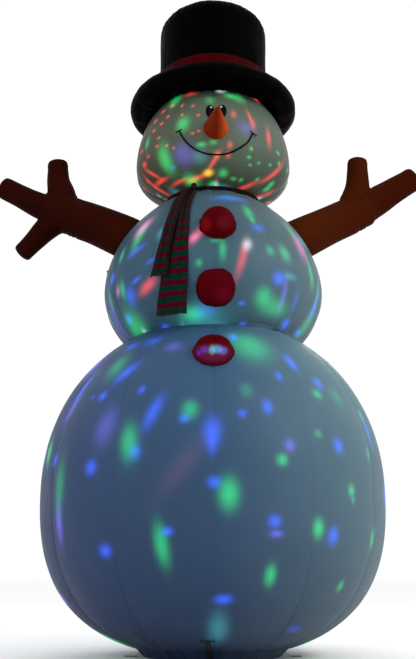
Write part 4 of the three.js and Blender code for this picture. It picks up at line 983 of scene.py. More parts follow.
# ------------------------------------------------------------------ eyes and mouth
def patch(name, key, az_deg, z, a, b, off, rise, mat, shape=lambda t: 1.0, du=0.0, dv=0.0, rings=12, segs=64):
    """A domed patch that follows the ball; a and b are its half width and half height."""
    ball = BALLS[key]
    rows = []
    for sheet_side in (1, 0):
        for i, t in enumerate(np.linspace(0, 1, rings)):
            th = np.linspace(0, 2 * np.pi, segs, endpoint=False)
            x = du + a * t * np.cos(th) * (1 + 0.0 * th)
            y = dv + b * t * np.sin(th)
            zz = z + y * math.cos(float(ball.normal_tilt(z)))
            azs = math.radians(az_deg) + x / ball.rf(zz)
            h = off + (rise * math.sqrt(max(1 - t * t, 0)) if sheet_side else -off + 0.0006) + 0 * th
            pts = ball.point(azs, zz, h)
            rows.append(pts if sheet_side else pts)
    top = rows[:rings]
    bot = rows[rings:][::-1]
    allrows = top[1:] + bot[:-1]
    verts = [tuple(top[0][0])] + [tuple(v) for r in allrows for v in r] + [tuple(bot[-1][0])]
    faces = [(0, 1 + j, 1 + (j + 1) % segs) for j in range(segs)]
    for i in range(len(allrows) - 1):
        for j in range(segs):
            p0, p1 = 1 + i * segs + j, 1 + i * segs + (j + 1) % segs
            faces.append((p0, p0 + segs, p1 + segs, p1))
    n0 = 1 + (len(allrows) - 1) * segs
    faces += [(n0 + (j + 1) % segs, n0 + j, len(verts) - 1) for j in range(segs)]
    return link_mesh(name, verts, faces, mat)


for nm, node, az, z, hx in (("left_eye_patch", "left_eye", -2.3, 4.675, 0.010), ("right_eye_patch", "right_eye", 6.7, 4.678, -0.008)):
    put(patch(nm, "head", az, z, 0.040, 0.080, 0.0022, 0.006, MAT["black"]), "black_fabric", node)
    put(patch(nm.replace("patch", "glint"), "head", az, z, 0.0105, 0.0135, 0.0085, 0.0015, MAT["glint"], du=hx, dv=0.044, rings=6, segs=32), "black_fabric")


def mouth():
    arc = [(-24.1, 4.484), (-19, 4.370), (-12.9, 4.298), (-5, 4.258), (3, 4.250), (10.5, 4.262), (17.9, 4.306), (24.5, 4.377), (29.1, 4.482)]
    path = smooth_path([(math.radians(a) * 0.7, z, 0) for a, z in arc], 160)
    b = BALLS["head"]
    pts = b.point(path[:, 0] / 0.7, path[:, 1], 0.0075)
    o = tube_mesh("mouth_line", pts, 0.0078, 12, MAT["black"], up=(0, 1, 0.3))
    put(o, "black_fabric", "mouth_piping")
    for i, (p, r) in enumerate((((-26.4, 4.476), (-22.0, 4.493)), ((27.0, 4.492), (31.4, 4.463)))):
        a = np.linspace(math.radians(p[0]), math.radians(r[0]), 20)
        z = np.linspace(p[1], r[1], 20)
        o = tube_mesh(f"mouth_end_{'left' if i == 0 else 'right'}", b.point(a, z, 0.0145), 0.0055, 10, MAT["black"], up=(0, 1, 0.3))
        put(o, "black_fabric")


mouth()


# ------------------------------------------------------------------ arms
LEFT_ARM = [
    [(-.640, 3.640, .200), (-.850, 3.745, .198), (-1.080, 3.850, .186), (-1.300, 3.935, .178), (-1.450, 3.985, .168), (-1.540, 4.010, .140)],
    [(-1.400, 3.960, .150), (-1.435, 4.140, .140), (-1.475, 4.290, .112), (-1.487, 4.420, .098)],
    [(-1.500, 3.990, .140), (-1.690, 4.075, .118), (-1.830, 4.150, .108), (-1.935, 4.205, .106)],
    [(-1.450, 3.940, .140), (-1.570, 3.820, .115), (-1.665, 3.710, .098), (-1.742, 3.622, .090)],
]
RIGHT_ARM = [
    [(.640, 3.630, .195), (.850, 3.730, .190), (1.080, 3.845, .176), (1.300, 3.950, .168), (1.450, 4.030, .160)],
    [(1.300, 3.960, .150), (1.350, 4.110, .138), (1.378, 4.260, .112), (1.387, 4.442, .097)],
    [(1.380, 3.990, .150), (1.560, 4.100, .138), (1.720, 4.205, .124), (1.850, 4.285, .116)],
]


def arm(name, node, limbs, seed):
    ends = []
    verts, faces = [], []
    for li, spine in enumerate(limbs):
        path = smooth_path([(x, z, r) for x, z, r in spine], 40)
        c = np.column_stack([path[:, 0], np.zeros(40), path[:, 1]])
        r = path[:, 2]
        if li:
            d = c[-1] - c[-2]
            d /= np.linalg.norm(d)
            tip, rt = c[-1] + d * r[-1] * 0.70, r[-1]
            c = np.vstack([c, c[-1] + (tip - c[-1]) * 0.5, tip, tip + d * 0.006, tip + d * 0.020, tip + d * 0.026])
            r = np.concatenate([r, [rt, rt * 1.0, rt * 0.95, rt * 0.62, rt * 0.25]])
            ends.append((tip, d, rt))
        t = np.gradient(c, axis=0)
        t /= np.linalg.norm(t, axis=1)[:, None]
        if li:
            t[-5:] = d
        S = 48
        a = np.linspace(0, 2 * np.pi, S, endpoint=False)
        b0 = len(verts)
        for i in range(len(c)):
            up = np.cross(t[i], (0, 1, 0))
            ring = c[i] + r[i] * (np.cos(a)[:, None] * np.array([0, 1, 0]) + np.sin(a)[:, None] * up)
            verts += [tuple(v) for v in ring]
        faces += [tuple(b0 + k for k in f) for f in quad_faces(len(c), S, True)]
        faces.append(tuple(b0 + j for j in range(S))[::-1])
        faces.append(tuple(b0 + (len(c) - 1) * S + j for j in range(S)))
    o = link_mesh(name, verts, faces, MAT["arm"])
    m = o.modifiers.new("Remesh", "REMESH")
    m.mode, m.voxel_size, m.use_smooth_shade = "VOXEL", 0.011, True
    s = o.modifiers.new("Smooth", "SMOOTH")
    s.factor, s.iterations = 0.5, 7
    dg = bpy.context.evaluated_depsgraph_get()
    me = bpy.data.meshes.new_from_object(o.evaluated_get(dg))
    o.modifiers.clear()
    o.data = me
    co = coords_of(o)
    f, _ = ball_gap("middle", co)
    got = inflate(o, f < 0.012, pressure=2.5, grow=0.030, cap=0.016, stiff=30, bend=0.2)
    # blunt ends: a sewn disc, with puckers round its seam
    co = got
    g = np.random.default_rng(seed)
    for tip, d, rt in ends:
        rel = co - tip
        h = rel @ d
        rad = rel - h[:, None] * d
        dist = np.linalg.norm(rad, axis=1)
        up = np.cross(d, (0, 1, 0))
        ang = np.arctan2(rad @ up, rad[:, 1])
        near = (dist < rt * 1.5) & (h > -0.10) & (h < 0.08)
        rim = np.exp(-((h / 0.028) ** 2)) * np.clip(dist / rt, 0, 1) ** 3
        ph = g.uniform(0, 6)
        puck = (0.6 * np.sin(13 * ang + ph) + 0.4 * np.sin(21 * ang + 2 * ph)) * 0.0035
        n = rad / np.maximum(dist, 1e-6)[:, None]
        co[near] += (n * (puck * rim)[:, None])[near]
        # crease between the side and the disc
        crease = 0.004 * np.exp(-(((h - 0.004) / 0.007) ** 2)) * np.clip(dist / rt, 0, 1) ** 4
        co[near] -= (n * crease[:, None])[near]
    # creases radiating from the crotches and lengthwise seam
    set_coords(o, co)
    vn = np.zeros(len(co) * 3, np.float32)
    o.data.vertices.foreach_get("normal", vn)
    vn = vn.reshape(-1, 3).astype(float)
    for x, z, k in CROTCH[node]:
        dx, dz = co[:, 0] - x, co[:, 2] - z
        dd = np.hypot(dx, dz)
        ang = np.arctan2(dz, dx)
        w = np.exp(-((dd / 0.13) ** 2))
        co += vn * (0.0045 * w * np.sin(ang * k + 4 * noise1(co[:, 1] * 9, seed)) * np.clip(dd / 0.03, 0, 1))[:, None]
    seam = np.exp(-((co[:, 1] / 0.006) ** 2))
    co -= vn * (0.003 * seam)[:, None]
    set_coords(o, co)
    # trim at the ball: the sleeve is sewn on its surface
    bm = bmesh.new()
    bm.from_mesh(o.data)
    pts = np.array([v.co[:] for v in bm.verts])
    f, n = ball_gap("middle", pts)
    bm.verts.ensure_lookup_table()
    dead = [fc for fc in bm.faces if all(f[v.index] < 0.0015 for v in fc.verts)]
    bmesh.ops.delete(bm, geom=dead, context="FACES")
    bm.verts.ensure_lookup_table()
    pts = np.array([v.co[:] for v in bm.verts])
    f, n = ball_gap("middle", pts)
    for i, v in enumerate(bm.verts):
        if f[i] < 0.0018:
            v.co = Vector(pts[i] + (0.0018 - f[i]) * n[i])
    bm.to_mesh(o.data)
    bm.free()
    sub = o.modifiers.new("Subdivision", "SUBSURF")
    sub.levels = sub.render_levels = 1
    dg = bpy.context.evaluated_depsgraph_get()
    me = bpy.data.meshes.new_from_object(o.evaluated_get(dg))
    o.modifiers.clear()
    o.data = me
    co = keep_off("middle", coords_of(o), 0.0012)
    set_coords(o, co)
    o.data.polygons.foreach_set("use_smooth", [True] * len(o.data.polygons))
    co = coords_of(o)
    # Painted shade: the left sleeve is painted a darker brown than the right one, which takes the light; each sleeve
    # also darkens towards its hand.
    t = np.clip((np.abs(co[:, 0]) - 0.8) / 0.9, 0, 1)[:, None]
    if node == "left_arm":
        tint_and_shade = lin((46, 12, 4)) * (1 - t) + lin((38, 8, 3)) * t
    else:
        tint_and_shade = lin((72, 28, 8)) * (1 - t) + lin((54, 14, 3)) * t
    color_attr(o, "Tint", tint_and_shade)
    gl = np.zeros((len(co), 3))
    color_attr(o, "Glow", gl)
    o.data.materials.clear()
    o.data.materials.append(MAT["arm"])
    put(o, "brown_fabric", node)
    return o


CROTCH = {
    "left_arm": [(-1.31, 4.12, 9), (-1.58, 4.14, 9), (-1.62, 3.93, 9), (-1.33, 3.80, 8)],
    "right_arm": [(1.22, 4.10, 9), (1.49, 4.18, 9), (1.42, 3.86, 7)],
}
arm("left_arm_sleeve", "left_arm", LEFT_ARM, 5)
arm("right_arm_sleeve", "right_arm", RIGHT_ARM, 6)


# ------------------------------------------------------------------ hat
CROWN_WALL = {}


def crown_wall(th, z):
    """Radius of the crown's side at angles th and height z."""
    w = CROWN_WALL
    i = int(np.searchsorted(w["z"], z)) - 1
    f = (z - w["z"][i]) / (w["z"][i + 1] - w["z"][i])
    row = w["r"][i] * (1 - f) + w["r"][i + 1] * f
    return np.interp(th, w["th"], row, period=2 * np.pi)


def crown():
    S = 288
    th = np.linspace(0, 2 * np.pi, S, endpoint=False)
    body = [(CROWN_R, z) for z in np.linspace(CROWN_Z0, TOP_Z - DOME, 66)]
    t = np.linspace(0, 1, 56)[1:]
    a = t * np.pi / 2
    body += [(CROWN_R * max(math.cos(x), 0) ** (2 / 2.667), TOP_Z - DOME + DOME * math.sin(x) ** (2 / 2.667)) for x in a[:-1]]
    r = np.array([b[0] for b in body])[:, None]
    z = np.array([b[1] for b in body])[:, None]
    k = np.round(th / (np.pi / 3))
    seam = np.exp(-(((th - k * np.pi / 3) * 0.526 / 0.008) ** 2))
    w = -0.003 * seam + 0.004 * noise2(th[None, :] * 4 + 3, z * 4.5, 61) * np.ones_like(r)
    gather = np.exp(-(((z - CROWN_Z0) / 0.09) ** 2)) * (0.007 * noise1(th * 17 + 2, 62) + 0.003 * np.sin(th * 70))[None, :]
    top_fold = np.exp(-(((z - (TOP_Z - DOME + 0.11)) / 0.07) ** 2)) * (0.004 * np.sin(th * 46 + 3 * noise1(th * 3, 63)))[None, :]
    bandcut = -0.003 * np.exp(-(((z - 5.241) / 0.12) ** 4))
    rr = r + (w + gather + top_fold + bandcut) * np.clip(r / 0.3, 0, 1)
    CROWN_WALL.update(th=th, z=z[:, 0], r=rr)
    # round-topped seam where the side meets the top disc
    co = np.stack([rr * np.sin(th), -rr * np.cos(th), z + 0 * th], -1).reshape(-1, 3)
    n = len(body)
    verts = np.vstack([co, [[0, 0, TOP_Z]]])
    faces = [tuple(f) for f in quad_faces(n, S, True)]
    faces += [((n - 1) * S + j, (n - 1) * S + (j + 1) % S, n * S) for j in range(S)]
    o = link_mesh("hat_crown_cover", verts, faces, MAT["hat"])
    put(o, "hat_fabric", "hat_crown")


def brim():
    S, K = ((320, 56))
    th = np.linspace(0, 2 * np.pi, S, endpoint=False)
    a = np.radians(np.linspace(-165, 165, K))
    rows = []
    for x in a:
        inner = max(0.0, -math.cos(x))
        w = 0.006 * noise1(th * 9 + 2, 71) + 0.004 * np.sin(th * 60 + 2 * noise1(th * 5, 72)) * inner ** 1.5 * 1.6
        seam = 0.004 * math.exp(-((x / 0.05) ** 2)) + 0.003 * np.exp(-((math.fmod(abs(x), 3.2) - 2.62) / 0.06) ** 2)
        tube = BRIM_TUBE + w * (0.4 + inner) - seam
        r = BRIM_R + tube * math.cos(x)
        r = np.maximum(r, CROWN_R + 0.002)
        z = BRIM_Z + tube * math.sin(x)
        rows.append(np.stack([r * np.sin(th), -r * np.cos(th), z], -1))
    # the upper edge turns in and is sewn round the crown's side
    sewn_z = BRIM_Z + 0.027
    sewn_r = crown_wall(th, sewn_z) + 0.0015
    sewn = np.stack([sewn_r * np.sin(th), -sewn_r * np.cos(th), sewn_z + 0 * th], -1)
    rows.append(sewn)
    verts = np.vstack(rows)
    faces = [tuple(f) for f in quad_faces(K + 1, S, True)]
    o = link_mesh("hat_brim_cover", verts, faces, MAT["hat"])
    rim = np.zeros(len(verts), bool)
    rim[: S * 2] = rim[-S * 3:] = True
    got = inflate(o, rim, pressure=2.5, grow=0.022, cap=0.010, stiff=25, bend=0.3)
    # clear of the crown and of the head
    rho = np.hypot(got[:, 0], got[:, 1])
    low = rho < CROWN_R + 0.010
    f = np.where(low, (CROWN_R + 0.010) / np.maximum(rho, 1e-6), 1)
    got[:, 0] *= f
    got[:, 1] *= f
    got = keep_off("head", got, 0.0015)
    got[-S:] = sewn
    set_coords(o, got)
    put(o, "hat_fabric", "hat_brim")


def hat_band():
    z0, z1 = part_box("hat_band")[0].z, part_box("hat_band")[1].z
    S = 288
    th = np.linspace(0, 2 * np.pi, S, endpoint=False)
    rows = []
    g = 0.0035 * noise1(th * 12, 81) + 0.0018 * np.sin(th * 66 + 2 * noise1(th * 4, 82))
    for t in np.linspace(0, 1, 30):
        edge = min(t, 1 - t)
        bulge = 0.0125 + 0.0045 * math.sin(math.pi * t)
        puck = g * (0.4 + math.exp(-edge / 0.12)) + 0.0022 * noise2(th * 6, np.full(S, t * 3), 83)
        r = CROWN_R + bulge + puck
        rows.append(np.stack([r * np.sin(th), -r * np.cos(th), z0 + (z1 - z0) * t + 0.004 * noise1(th * 3, 84) * (0.5 - t)], -1))
    inner = []
    for t in np.linspace(1, 0, 4):
        r = CROWN_R + 0.0105
        inner.append(np.stack([r * np.sin(th), -r * np.cos(th), z0 + (z1 - z0) * t + 0 * th], -1))
    rows += inner
    verts = np.vstack(rows)
    K = len(rows)
    faces = [tuple(f) for f in quad_faces(K, S, True)]
    faces += [((K - 1) * S + j, (K - 1) * S + (j + 1) % S, (j + 1) % S, j) for j in range(S)]
    o = link_mesh("hat_band_cover", verts, faces, MAT["band"])
    put(o, "red_fabric", "hat_band")


crown()
brim()
hat_band()

# ------------------------------------------------------------------ scarf
LONG = [(3.985, -.205, -.150), (3.900, -.240, -.160), (3.800, -.280, -.176), (3.670, -.315, -.190), (3.500, -.350, -.197), (3.300, -.385, -.200), (3.134, -.410, -.202), (2.950, -.430, -.204), (2.800, -.442, -.208), (2.683, -.452, -.210)]
SHORT = [(3.990, -.215, -.165), (3.900, -.275, -.205), (3.800, -.325, -.235), (3.670, -.358, -.262), (3.557, -.384, -.285), (3.400, -.414, -.312), (3.260, -.441, -.335), (3.134, -.472, -.350), (3.022, -.498, -.360)]


# Each tail's cut, in metres: across at the knot, across at the hem, and knot to hem.
LONG_CUT = (0.130, 0.255, 1.50)
SHORT_CUT = (0.105, 0.150, 1.20)


def fold_depth(width, cut, pleats):
    """How deep pleats folds are when a cloth cut wide is gathered to width: the cloth doesn't stretch."""
    u = np.linspace(0, 1, 400)
    shape = 0.5 + 0.5 * np.cos(2 * np.pi * pleats * u)
    lo, hi = 0.0, 0.12
    for _ in range(40):
        mid = (lo + hi) / 2
        if np.sum(np.hypot(np.diff(u * width), np.diff(mid * shape))) < cut:
            lo = mid
        else:
            hi = mid
    return lo


def tail(name, node, rows_in, off, thick, pleats, seed, cut, phase):
    rows_in = np.array(rows_in)
    n, m = ((220, 64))
    z = np.linspace(rows_in[0, 0], rows_in[-1, 0], n)
    xl = np.interp(-z, -rows_in[:, 0], rows_in[:, 1])
    xr = np.interp(-z, -rows_in[:, 0], rows_in[:, 2])
    u = np.linspace(0, 1, m)
    X = xl[:, None] * (1 - u) + xr[:, None] * u
    Z = np.repeat(z[:, None], m, 1)
    b = BALLS["middle"]

    def front_y(x, zz):
        rr = np.where(zz > b.rf.__call__(zz) * 0 + 3.134, b.rf(zz), float(b.rf(3.134)))
        return -np.sqrt(np.maximum(rr**2 - x**2, 1e-6))

    t = (z - z[0]) / (z[-1] - z[0])
    width = xr - xl
    cut_w = cut[0] + (cut[1] - cut[0]) * t
    slack = np.clip(1 - width / cut_w, 0, 0.9)
    amp = np.array([fold_depth(w0, c0, pleats) for w0, c0 in zip(width, cut_w)])[:, None]
    wob = 0.10 * noise1(t * 5 + 3, seed)[:, None]
    fold = np.cos(2 * np.pi * (pleats * (u[None, :] + wob * 0.4) + phase))
    fold2 = noise2(u[None, :] * 3.2 + 5, (t * 7)[:, None] + 0 * u[None, :], seed + 1)
    lift = amp * (0.5 + 0.5 * fold) + 0.004 * (1 + fold2) * (0.3 + 0.7 * t[:, None])
    # the free hem curls a little
    lift = lift + 0.006 * np.exp(-((1 - t[:, None]) / 0.02)) * (0.5 + 0.5 * np.sin(9 * u[None, :] + seed))
    above = Z >= 3.134
    e = b.normal_tilt(np.maximum(Z, 3.134))
    base_y = front_y(X, Z)
    H = off + lift
    rho = np.sqrt(X**2 + base_y**2)
    nx, ny = X / rho, base_y / rho
    P = np.stack([X + nx * H * np.cos(e), base_y + ny * H * np.cos(e), Z + H * np.sin(e) * above], -1)
    P[..., 0] += 0.003 * noise1(t * 9, seed + 2)[:, None]
    # second face behind it, and closed hems
    d = np.gradient(P, axis=0)
    w = np.gradient(P, axis=1)
    nn = np.cross(w, d)
    nn /= np.linalg.norm(nn, axis=2)[:, :, None]
    if nn[n // 2, m // 2, 1] > 0:
        nn = -nn
    front, rear = P + nn * thick / 2, P - nn * thick / 2
    f1 = front.reshape(-1, 3)
    f2 = rear.reshape(-1, 3)
    verts = np.vstack([f1, f2])
    q1 = quad_faces(n, m, False)
    faces = [tuple(f[::-1]) for f in q1] + [tuple(f + n * m) for f in q1]
    N = n * m
    for i in range(n - 1):
        a, c = i * m, (i + 1) * m
        faces.append((a, c, c + N, a + N)[::-1])
        a, c = i * m + m - 1, (i + 1) * m + m - 1
        faces.append((a, a + N, c + N, c)[::-1])
    for j in range(m - 1):
        faces.append((j, j + N, j + 1 + N, j + 1)[::-1])
        a = (n - 1) * m + j
        faces.append((a, a + 1, a + 1 + N, a + N)[::-1])
    o = link_mesh(name, verts, faces, MAT["scarf"])
    me = o.data
    bm2 = bmesh.new()
    bm2.from_mesh(me)
    bmesh.ops.recalc_face_normals(bm2, faces=bm2.faces)
    bm2.to_mesh(me)
    bm2.free()
    step = np.linalg.norm(np.diff(P[:, m // 2], axis=0), axis=1)
    along = np.concatenate([[0], np.cumsum(step)])
    al = np.repeat(along[:, None], m, 1) + 0.012 * fold * slack[:, None]
    float_attr(o, "Along", np.concatenate([al.ravel(), al.ravel()]) + phase)
    put(o, "scarf_fabric", node)
    return o


lt = tail("scarf_long_tail_cloth", "scarf_long_tail", LONG, 0.009, 0.0024, 2.5, 14, LONG_CUT, 0.0)
st = tail("scarf_short_tail_cloth", "scarf_short_tail", SHORT, 0.036, 0.0024, 2.5, 24, SHORT_CUT, 0.4)


def scarf_band():
    S, K = ((420, 44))
    th = np.linspace(0, 2 * np.pi, S, endpoint=False)
    verts = []
    ang = np.linspace(0, 2 * np.pi, K, endpoint=False)
    twist = 0.35 * np.sin(th * 3 + 0.7) + 0.25 * np.sin(th * 5)
    for j, x in enumerate(ang):
        fold = 0.0045 * np.sin(4 * x + 2 * twist + 1.1 * noise1(th * 4, 95)) + 0.003 * np.sin(7 * x + 3 * noise1(th * 6, 96))
        r = 0.424 + (0.030 + fold) * math.cos(x)
        z = 4.048 + (0.016 + 0.6 * fold) * math.sin(x) + 0.002 * noise1(th * 5, 97)
        verts.append(np.stack([r * np.sin(th), -r * np.cos(th), z], -1))
    P = np.stack(verts, 1)            # around, section
    flat = P.reshape(-1, 3)
    flat = keep_off("middle", flat, 0.0025)
    head_low = flat[:, 2] > NECK_Z
    up = keep_off("head", flat, 0.0025)
    flat[head_low] = up[head_low]
    # keep the band outside the crease
    rho = np.hypot(flat[:, 0], flat[:, 1])
    need = np.where(flat[:, 2] > NECK_Z, r_head(np.clip(flat[:, 2], NECK_Z + 1e-4, HEAD_TOP)), r_middle(np.clip(flat[:, 2], WAIST_Z, NECK_Z - 1e-4))) + 0.002
    k = np.maximum(1, need / rho)
    flat[:, 0] *= k
    flat[:, 1] *= k
    faces = []
    for i in range(S):
        for j in range(K):
            a, b = i * K + j, i * K + (j + 1) % K
            c, d = ((i + 1) % S) * K + (j + 1) % K, ((i + 1) % S) * K + j
            faces.append((a, d, c, b))
    o = link_mesh("scarf_band_cloth", flat, faces, MAT["scarf"])
    bm2 = bmesh.new()
    bm2.from_mesh(o.data)
    bmesh.ops.recalc_face_normals(bm2, faces=bm2.faces)
    bm2.to_mesh(o.data)
    bm2.free()
    turns = 28 * 0.098
    float_attr(o, "Along", np.repeat(th / (2 * np.pi) * turns, K))
    put(o, "scarf_fabric", "scarf_band")


def scarf_knot():
    """The short gather that holds both tails where they leave the band."""
    S, K = ((90, 60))
    c = Vector((-0.172, -0.545, 4.012))
    rot = np.array(Matrix.Rotation(math.radians(-17.5), 3, "Z"))
    th = np.linspace(0, 2 * np.pi, S, endpoint=False)
    rows = []
    for p in np.linspace(0.04, np.pi - 0.04, K):
        rr = 1 + 0.10 * np.sin(9 * th + 3 * math.cos(p)) * math.sin(p) + 0.05 * np.sin(17 * th)
        x = 0.026 * math.sin(p) ** 0.8 * np.cos(th) * rr
        y = 0.020 * math.sin(p) ** 0.8 * np.sin(th) * rr
        z = 0.030 * math.cos(p) + 0 * th
        rows.append(np.stack([x, y, z], -1))
    loc = np.vstack(rows)
    w = loc @ rot.T + np.array(c)
    w = keep_off("middle", w, 0.003)
    faces = [tuple(f) for f in quad_faces(K, S, True)]
    faces.append(tuple(range(S))[::-1])
    faces.append(tuple(range((K - 1) * S, K * S)))
    o = link_mesh("scarf_knot_cloth", w, faces, MAT["scarf"])
    bm2 = bmesh.new()
    bm2.from_mesh(o.data)
    bmesh.ops.recalc_face_normals(bm2, faces=bm2.faces)
    bm2.to_mesh(o.data)
    bm2.free()
    float_attr(o, "Along", np.repeat(np.linspace(0, 0.12, K), S))
    put(o, "scarf_fabric", "scarf_knot")


scarf_band()
scarf_knot()


# ------------------------------------------------------------------ webbing loops and rings
def strap(name, pts, side, width, thick, mat=None, edge=0.0012):
    """Flat webbing along a line of points: side is the width direction at each point."""
    p = np.asarray(pts, float)
    side = np.asarray(side, float)
    t = np.gradient(p, axis=0)
    t /= np.linalg.norm(t, axis=1)[:, None]
    n = np.cross(t, side)
    n /= np.linalg.norm(n, axis=1)[:, None]
    u = np.array([-1, -0.94, -0.86, -0.5, 0, 0.5, 0.86, 0.94, 1]) * width / 2
    h = np.array([0.55, 0.95, 1.0, 0.92, 0.9, 0.92, 1.0, 0.95, 0.55]) * thick / 2
    sec = [(a, b) for a, b in zip(u, h)] + [(a, -b) for a, b in zip(u[::-1], h[::-1])]
    m = len(sec)
    verts = []
    for i in range(len(p)):
        for a, b in sec:
            verts.append(p[i] + side[i] * a + n[i] * b)
    faces = [tuple(f) for f in quad_faces(len(p), m, True)]
    faces.append(tuple(range(m))[::-1])
    faces.append(tuple(range((len(p) - 1) * m, len(p) * m)))
    o = link_mesh(name, verts, faces, mat or MAT["webbing"])
    bm2 = bmesh.new()
    bm2.from_mesh(o.data)
    bmesh.ops.recalc_face_normals(bm2, faces=bm2.faces)
    bm2.to_mesh(o.data)
    bm2.free()
    return o


def d_ring(name, node, body, az_deg):
    az = math.radians(az_deg)
    rc = float(r_middle(3.39)) + 0.026
    c = np.array([rc * math.sin(az), -rc * math.cos(az), 3.39])
    x = np.array([math.cos(az), math.sin(az), 0])
    pts = []
    hw, drop, rr = 0.0225, 0.0385, 0.0032
    pts += [(-hw, 0), (0, 0), (hw, 0)]
    for a in np.linspace(0, np.pi, 26):
        pts.append((hw * math.cos(a), -0.016 - (drop - 0.016) * math.sin(a)))
    P = np.array([c + x * a + np.array([0, 0, b]) for a, b in pts])
    P = np.vstack([P, P[:1]])
    s = np.concatenate([[0], np.cumsum(np.linalg.norm(np.diff(P, axis=0), axis=1))])
    k = np.linspace(0, s[-1], 90, endpoint=False)
    P = np.stack([np.interp(k, s, P[:, i]) for i in range(3)], -1)
    t = np.roll(P, -1, 0) - np.roll(P, 1, 0)
    t /= np.linalg.norm(t, axis=1)[:, None]
    out = np.array([math.sin(az), -math.cos(az), 0])
    v = np.cross(t, out)
    sides = 14
    a = np.linspace(0, 2 * np.pi, sides, endpoint=False)
    verts = (P[:, None] + rr * (np.cos(a)[None, :, None] * out + np.sin(a)[None, :, None] * v[:, None])).reshape(-1, 3)
    faces = []
    n = len(P)
    for i in range(n):
        for j in range(sides):
            faces.append((i * sides + j, i * sides + (j + 1) % sides, ((i + 1) % n) * sides + (j + 1) % sides, ((i + 1) % n) * sides + j))
    o = link_mesh(name, verts, faces, MAT["steel"])
    put(o, "ring_steel", node, body=body)


def tether_tab(name, node, az_deg):
    """Folded webbing sewn flat on the ball, with an eye round the ring's bar."""
    az = math.radians(az_deg)
    b = BALLS["middle"]
    x = np.array([math.cos(az), math.sin(az), 0])
    out = np.array([math.sin(az), -math.cos(az), 0])
    rc = float(r_middle(3.39)) + 0.026
    pts = []
    for z in np.linspace(3.352, 3.376, 8):
        pts.append(b.point(az, z, 0.0016))
    eye = np.array([rc * math.sin(az), -rc * math.cos(az), 3.39])
    for a in np.linspace(-150, 150, 26):
        r = 0.0078
        pts.append(eye + out * r * math.cos(math.radians(a)) + np.array([0, 0, 1]) * r * math.sin(math.radians(a)))
    for z in np.linspace(3.404, 3.428, 8):
        pts.append(b.point(az, z, 0.0016))
    P = smooth_path(pts, 90)
    o = strap(name, P, np.repeat(x[None], 90, 0), 0.028, 0.0022)
    put(o, "webbing", node)
    # sewn patch under it
    a = np.linspace(az - math.radians(1.8), az + math.radians(1.8), 16)
    zz = np.linspace(3.350, 3.430, 20)
    A, Z = np.meshgrid(a, zz)
    top = b.point(A.ravel(), Z.ravel(), 0.0012)
    low = b.point(A.ravel(), Z.ravel(), 0.0004)
    n = len(top)
    q1 = quad_faces(20, 16, False)
    faces = [tuple(f) for f in q1] + [tuple((f + n)[::-1]) for f in q1]
    for i in range(19):
        faces.append((i * 16, i * 16 + n, (i + 1) * 16 + n, (i + 1) * 16))
        faces.append((i * 16 + 15, (i + 1) * 16 + 15, (i + 1) * 16 + 15 + n, i * 16 + 15 + n))
    for j in range(15):
        faces.append((j, j + 1, j + 1 + n, j + n))
        k = 19 * 16
        faces.append((k + j, k + j + n, k + j + 1 + n, k + j + 1))
    o = link_mesh(name + "_patch", np.vstack([top, low]), faces, MAT["webbing"])
    bm2 = bmesh.new()
    bm2.from_mesh(o.data)
    bmesh.ops.recalc_face_normals(bm2, faces=bm2.faces)
    bm2.to_mesh(o.data)
    bm2.free()
    put(o, "webbing")


for side, az in (("left", -90), ("rear", 180), ("right", 100)):
    tether_tab(f"tether_web_{side}", f"tether_tab_{side}", az)
    d_ring(f"tether_dring_{side}", f"tether_ring_{side}", f"ring_{side}", az)


def stake_loop(side, az_deg):
    """Webbing sewn to the lower ball that runs down to the ground and ends in a stake eye."""
    az = math.radians(az_deg)
    b = BALLS["bottom"]
    x = np.array([math.cos(az), math.sin(az), 0])
    out = np.array([math.sin(az), -math.cos(az), 0])
    pts = [b.point(az, z, 0.003) for z in np.linspace(0.185, 0.035, 26)]
    lo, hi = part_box(f"stake_loop_{side}")
    r1 = 0.664
    pts += [out * 0.652 + np.array([0, 0, 0.0045])]
    P = smooth_path(pts, 60)
    o = strap(f"stake_web_{side}", P, np.repeat(x[None], 60, 0), 0.040, 0.0024)
    put(o, "webbing", f"stake_loop_{side}")
    # foot with its stake eye, webbing turned back on itself
    w, r0, r2 = 0.040, 0.650, 0.7405
    outer, inner = [], []
    for i in range(96):
        a = 2 * math.pi * i / 96
        px, py = math.cos(a), math.sin(a)
        k = 1 / max(abs(px) ** 5 + abs(py) ** 5, 1e-9) ** 0.2
        outer.append((0.021 * px * k * 0.98, (r0 + r2) / 2 + (r2 - r0) / 2 * py * k))
        inner.append((0.0112 * px * k, 0.699 + 0.0292 * py * k))
    def ring_pts(pp, z):
        return [x * a + out * c + np.array([0, 0, z]) for a, c in pp]
    mid = [((a[0] + c[0]) / 2, (a[1] + c[1]) / 2) for a, c in zip(outer, inner)]
    loops = [ring_pts(outer, 0.0006), ring_pts(outer, 0.0030), ring_pts(mid, 0.0044), ring_pts(inner, 0.0034), ring_pts(inner, 0.0006)]
    verts = np.vstack(loops)
    n = 96
    faces = []
    for i in range(len(loops)):
        j = (i + 1) % len(loops)
        for k in range(n):
            faces.append((i * n + k, i * n + (k + 1) % n, j * n + (k + 1) % n, j * n + k))
    o = link_mesh(f"stake_eye_{side}", verts, faces, MAT["webbing"])
    bm2 = bmesh.new()
    bm2.from_mesh(o.data)
    bmesh.ops.recalc_face_normals(bm2, faces=bm2.faces)
    bm2.to_mesh(o.data)
    bm2.free()
    put(o, "webbing")
    # cross patch
    a = np.linspace(az - math.radians(3.4), az + math.radians(3.4), 40)
    P = b.point(a, np.full(40, 0.179), 0.0058)
    t = np.gradient(P, axis=0)
    t /= np.linalg.norm(t, axis=1)[:, None]
    e = float(b.normal_tilt(0.179))
    up = np.array([[-math.sin(e) * math.sin(k), math.sin(e) * math.cos(k), math.cos(e)] for k in a])
    o = strap(f"stake_patch_{side}", P, up, 0.022, 0.0018)
    put(o, "webbing")


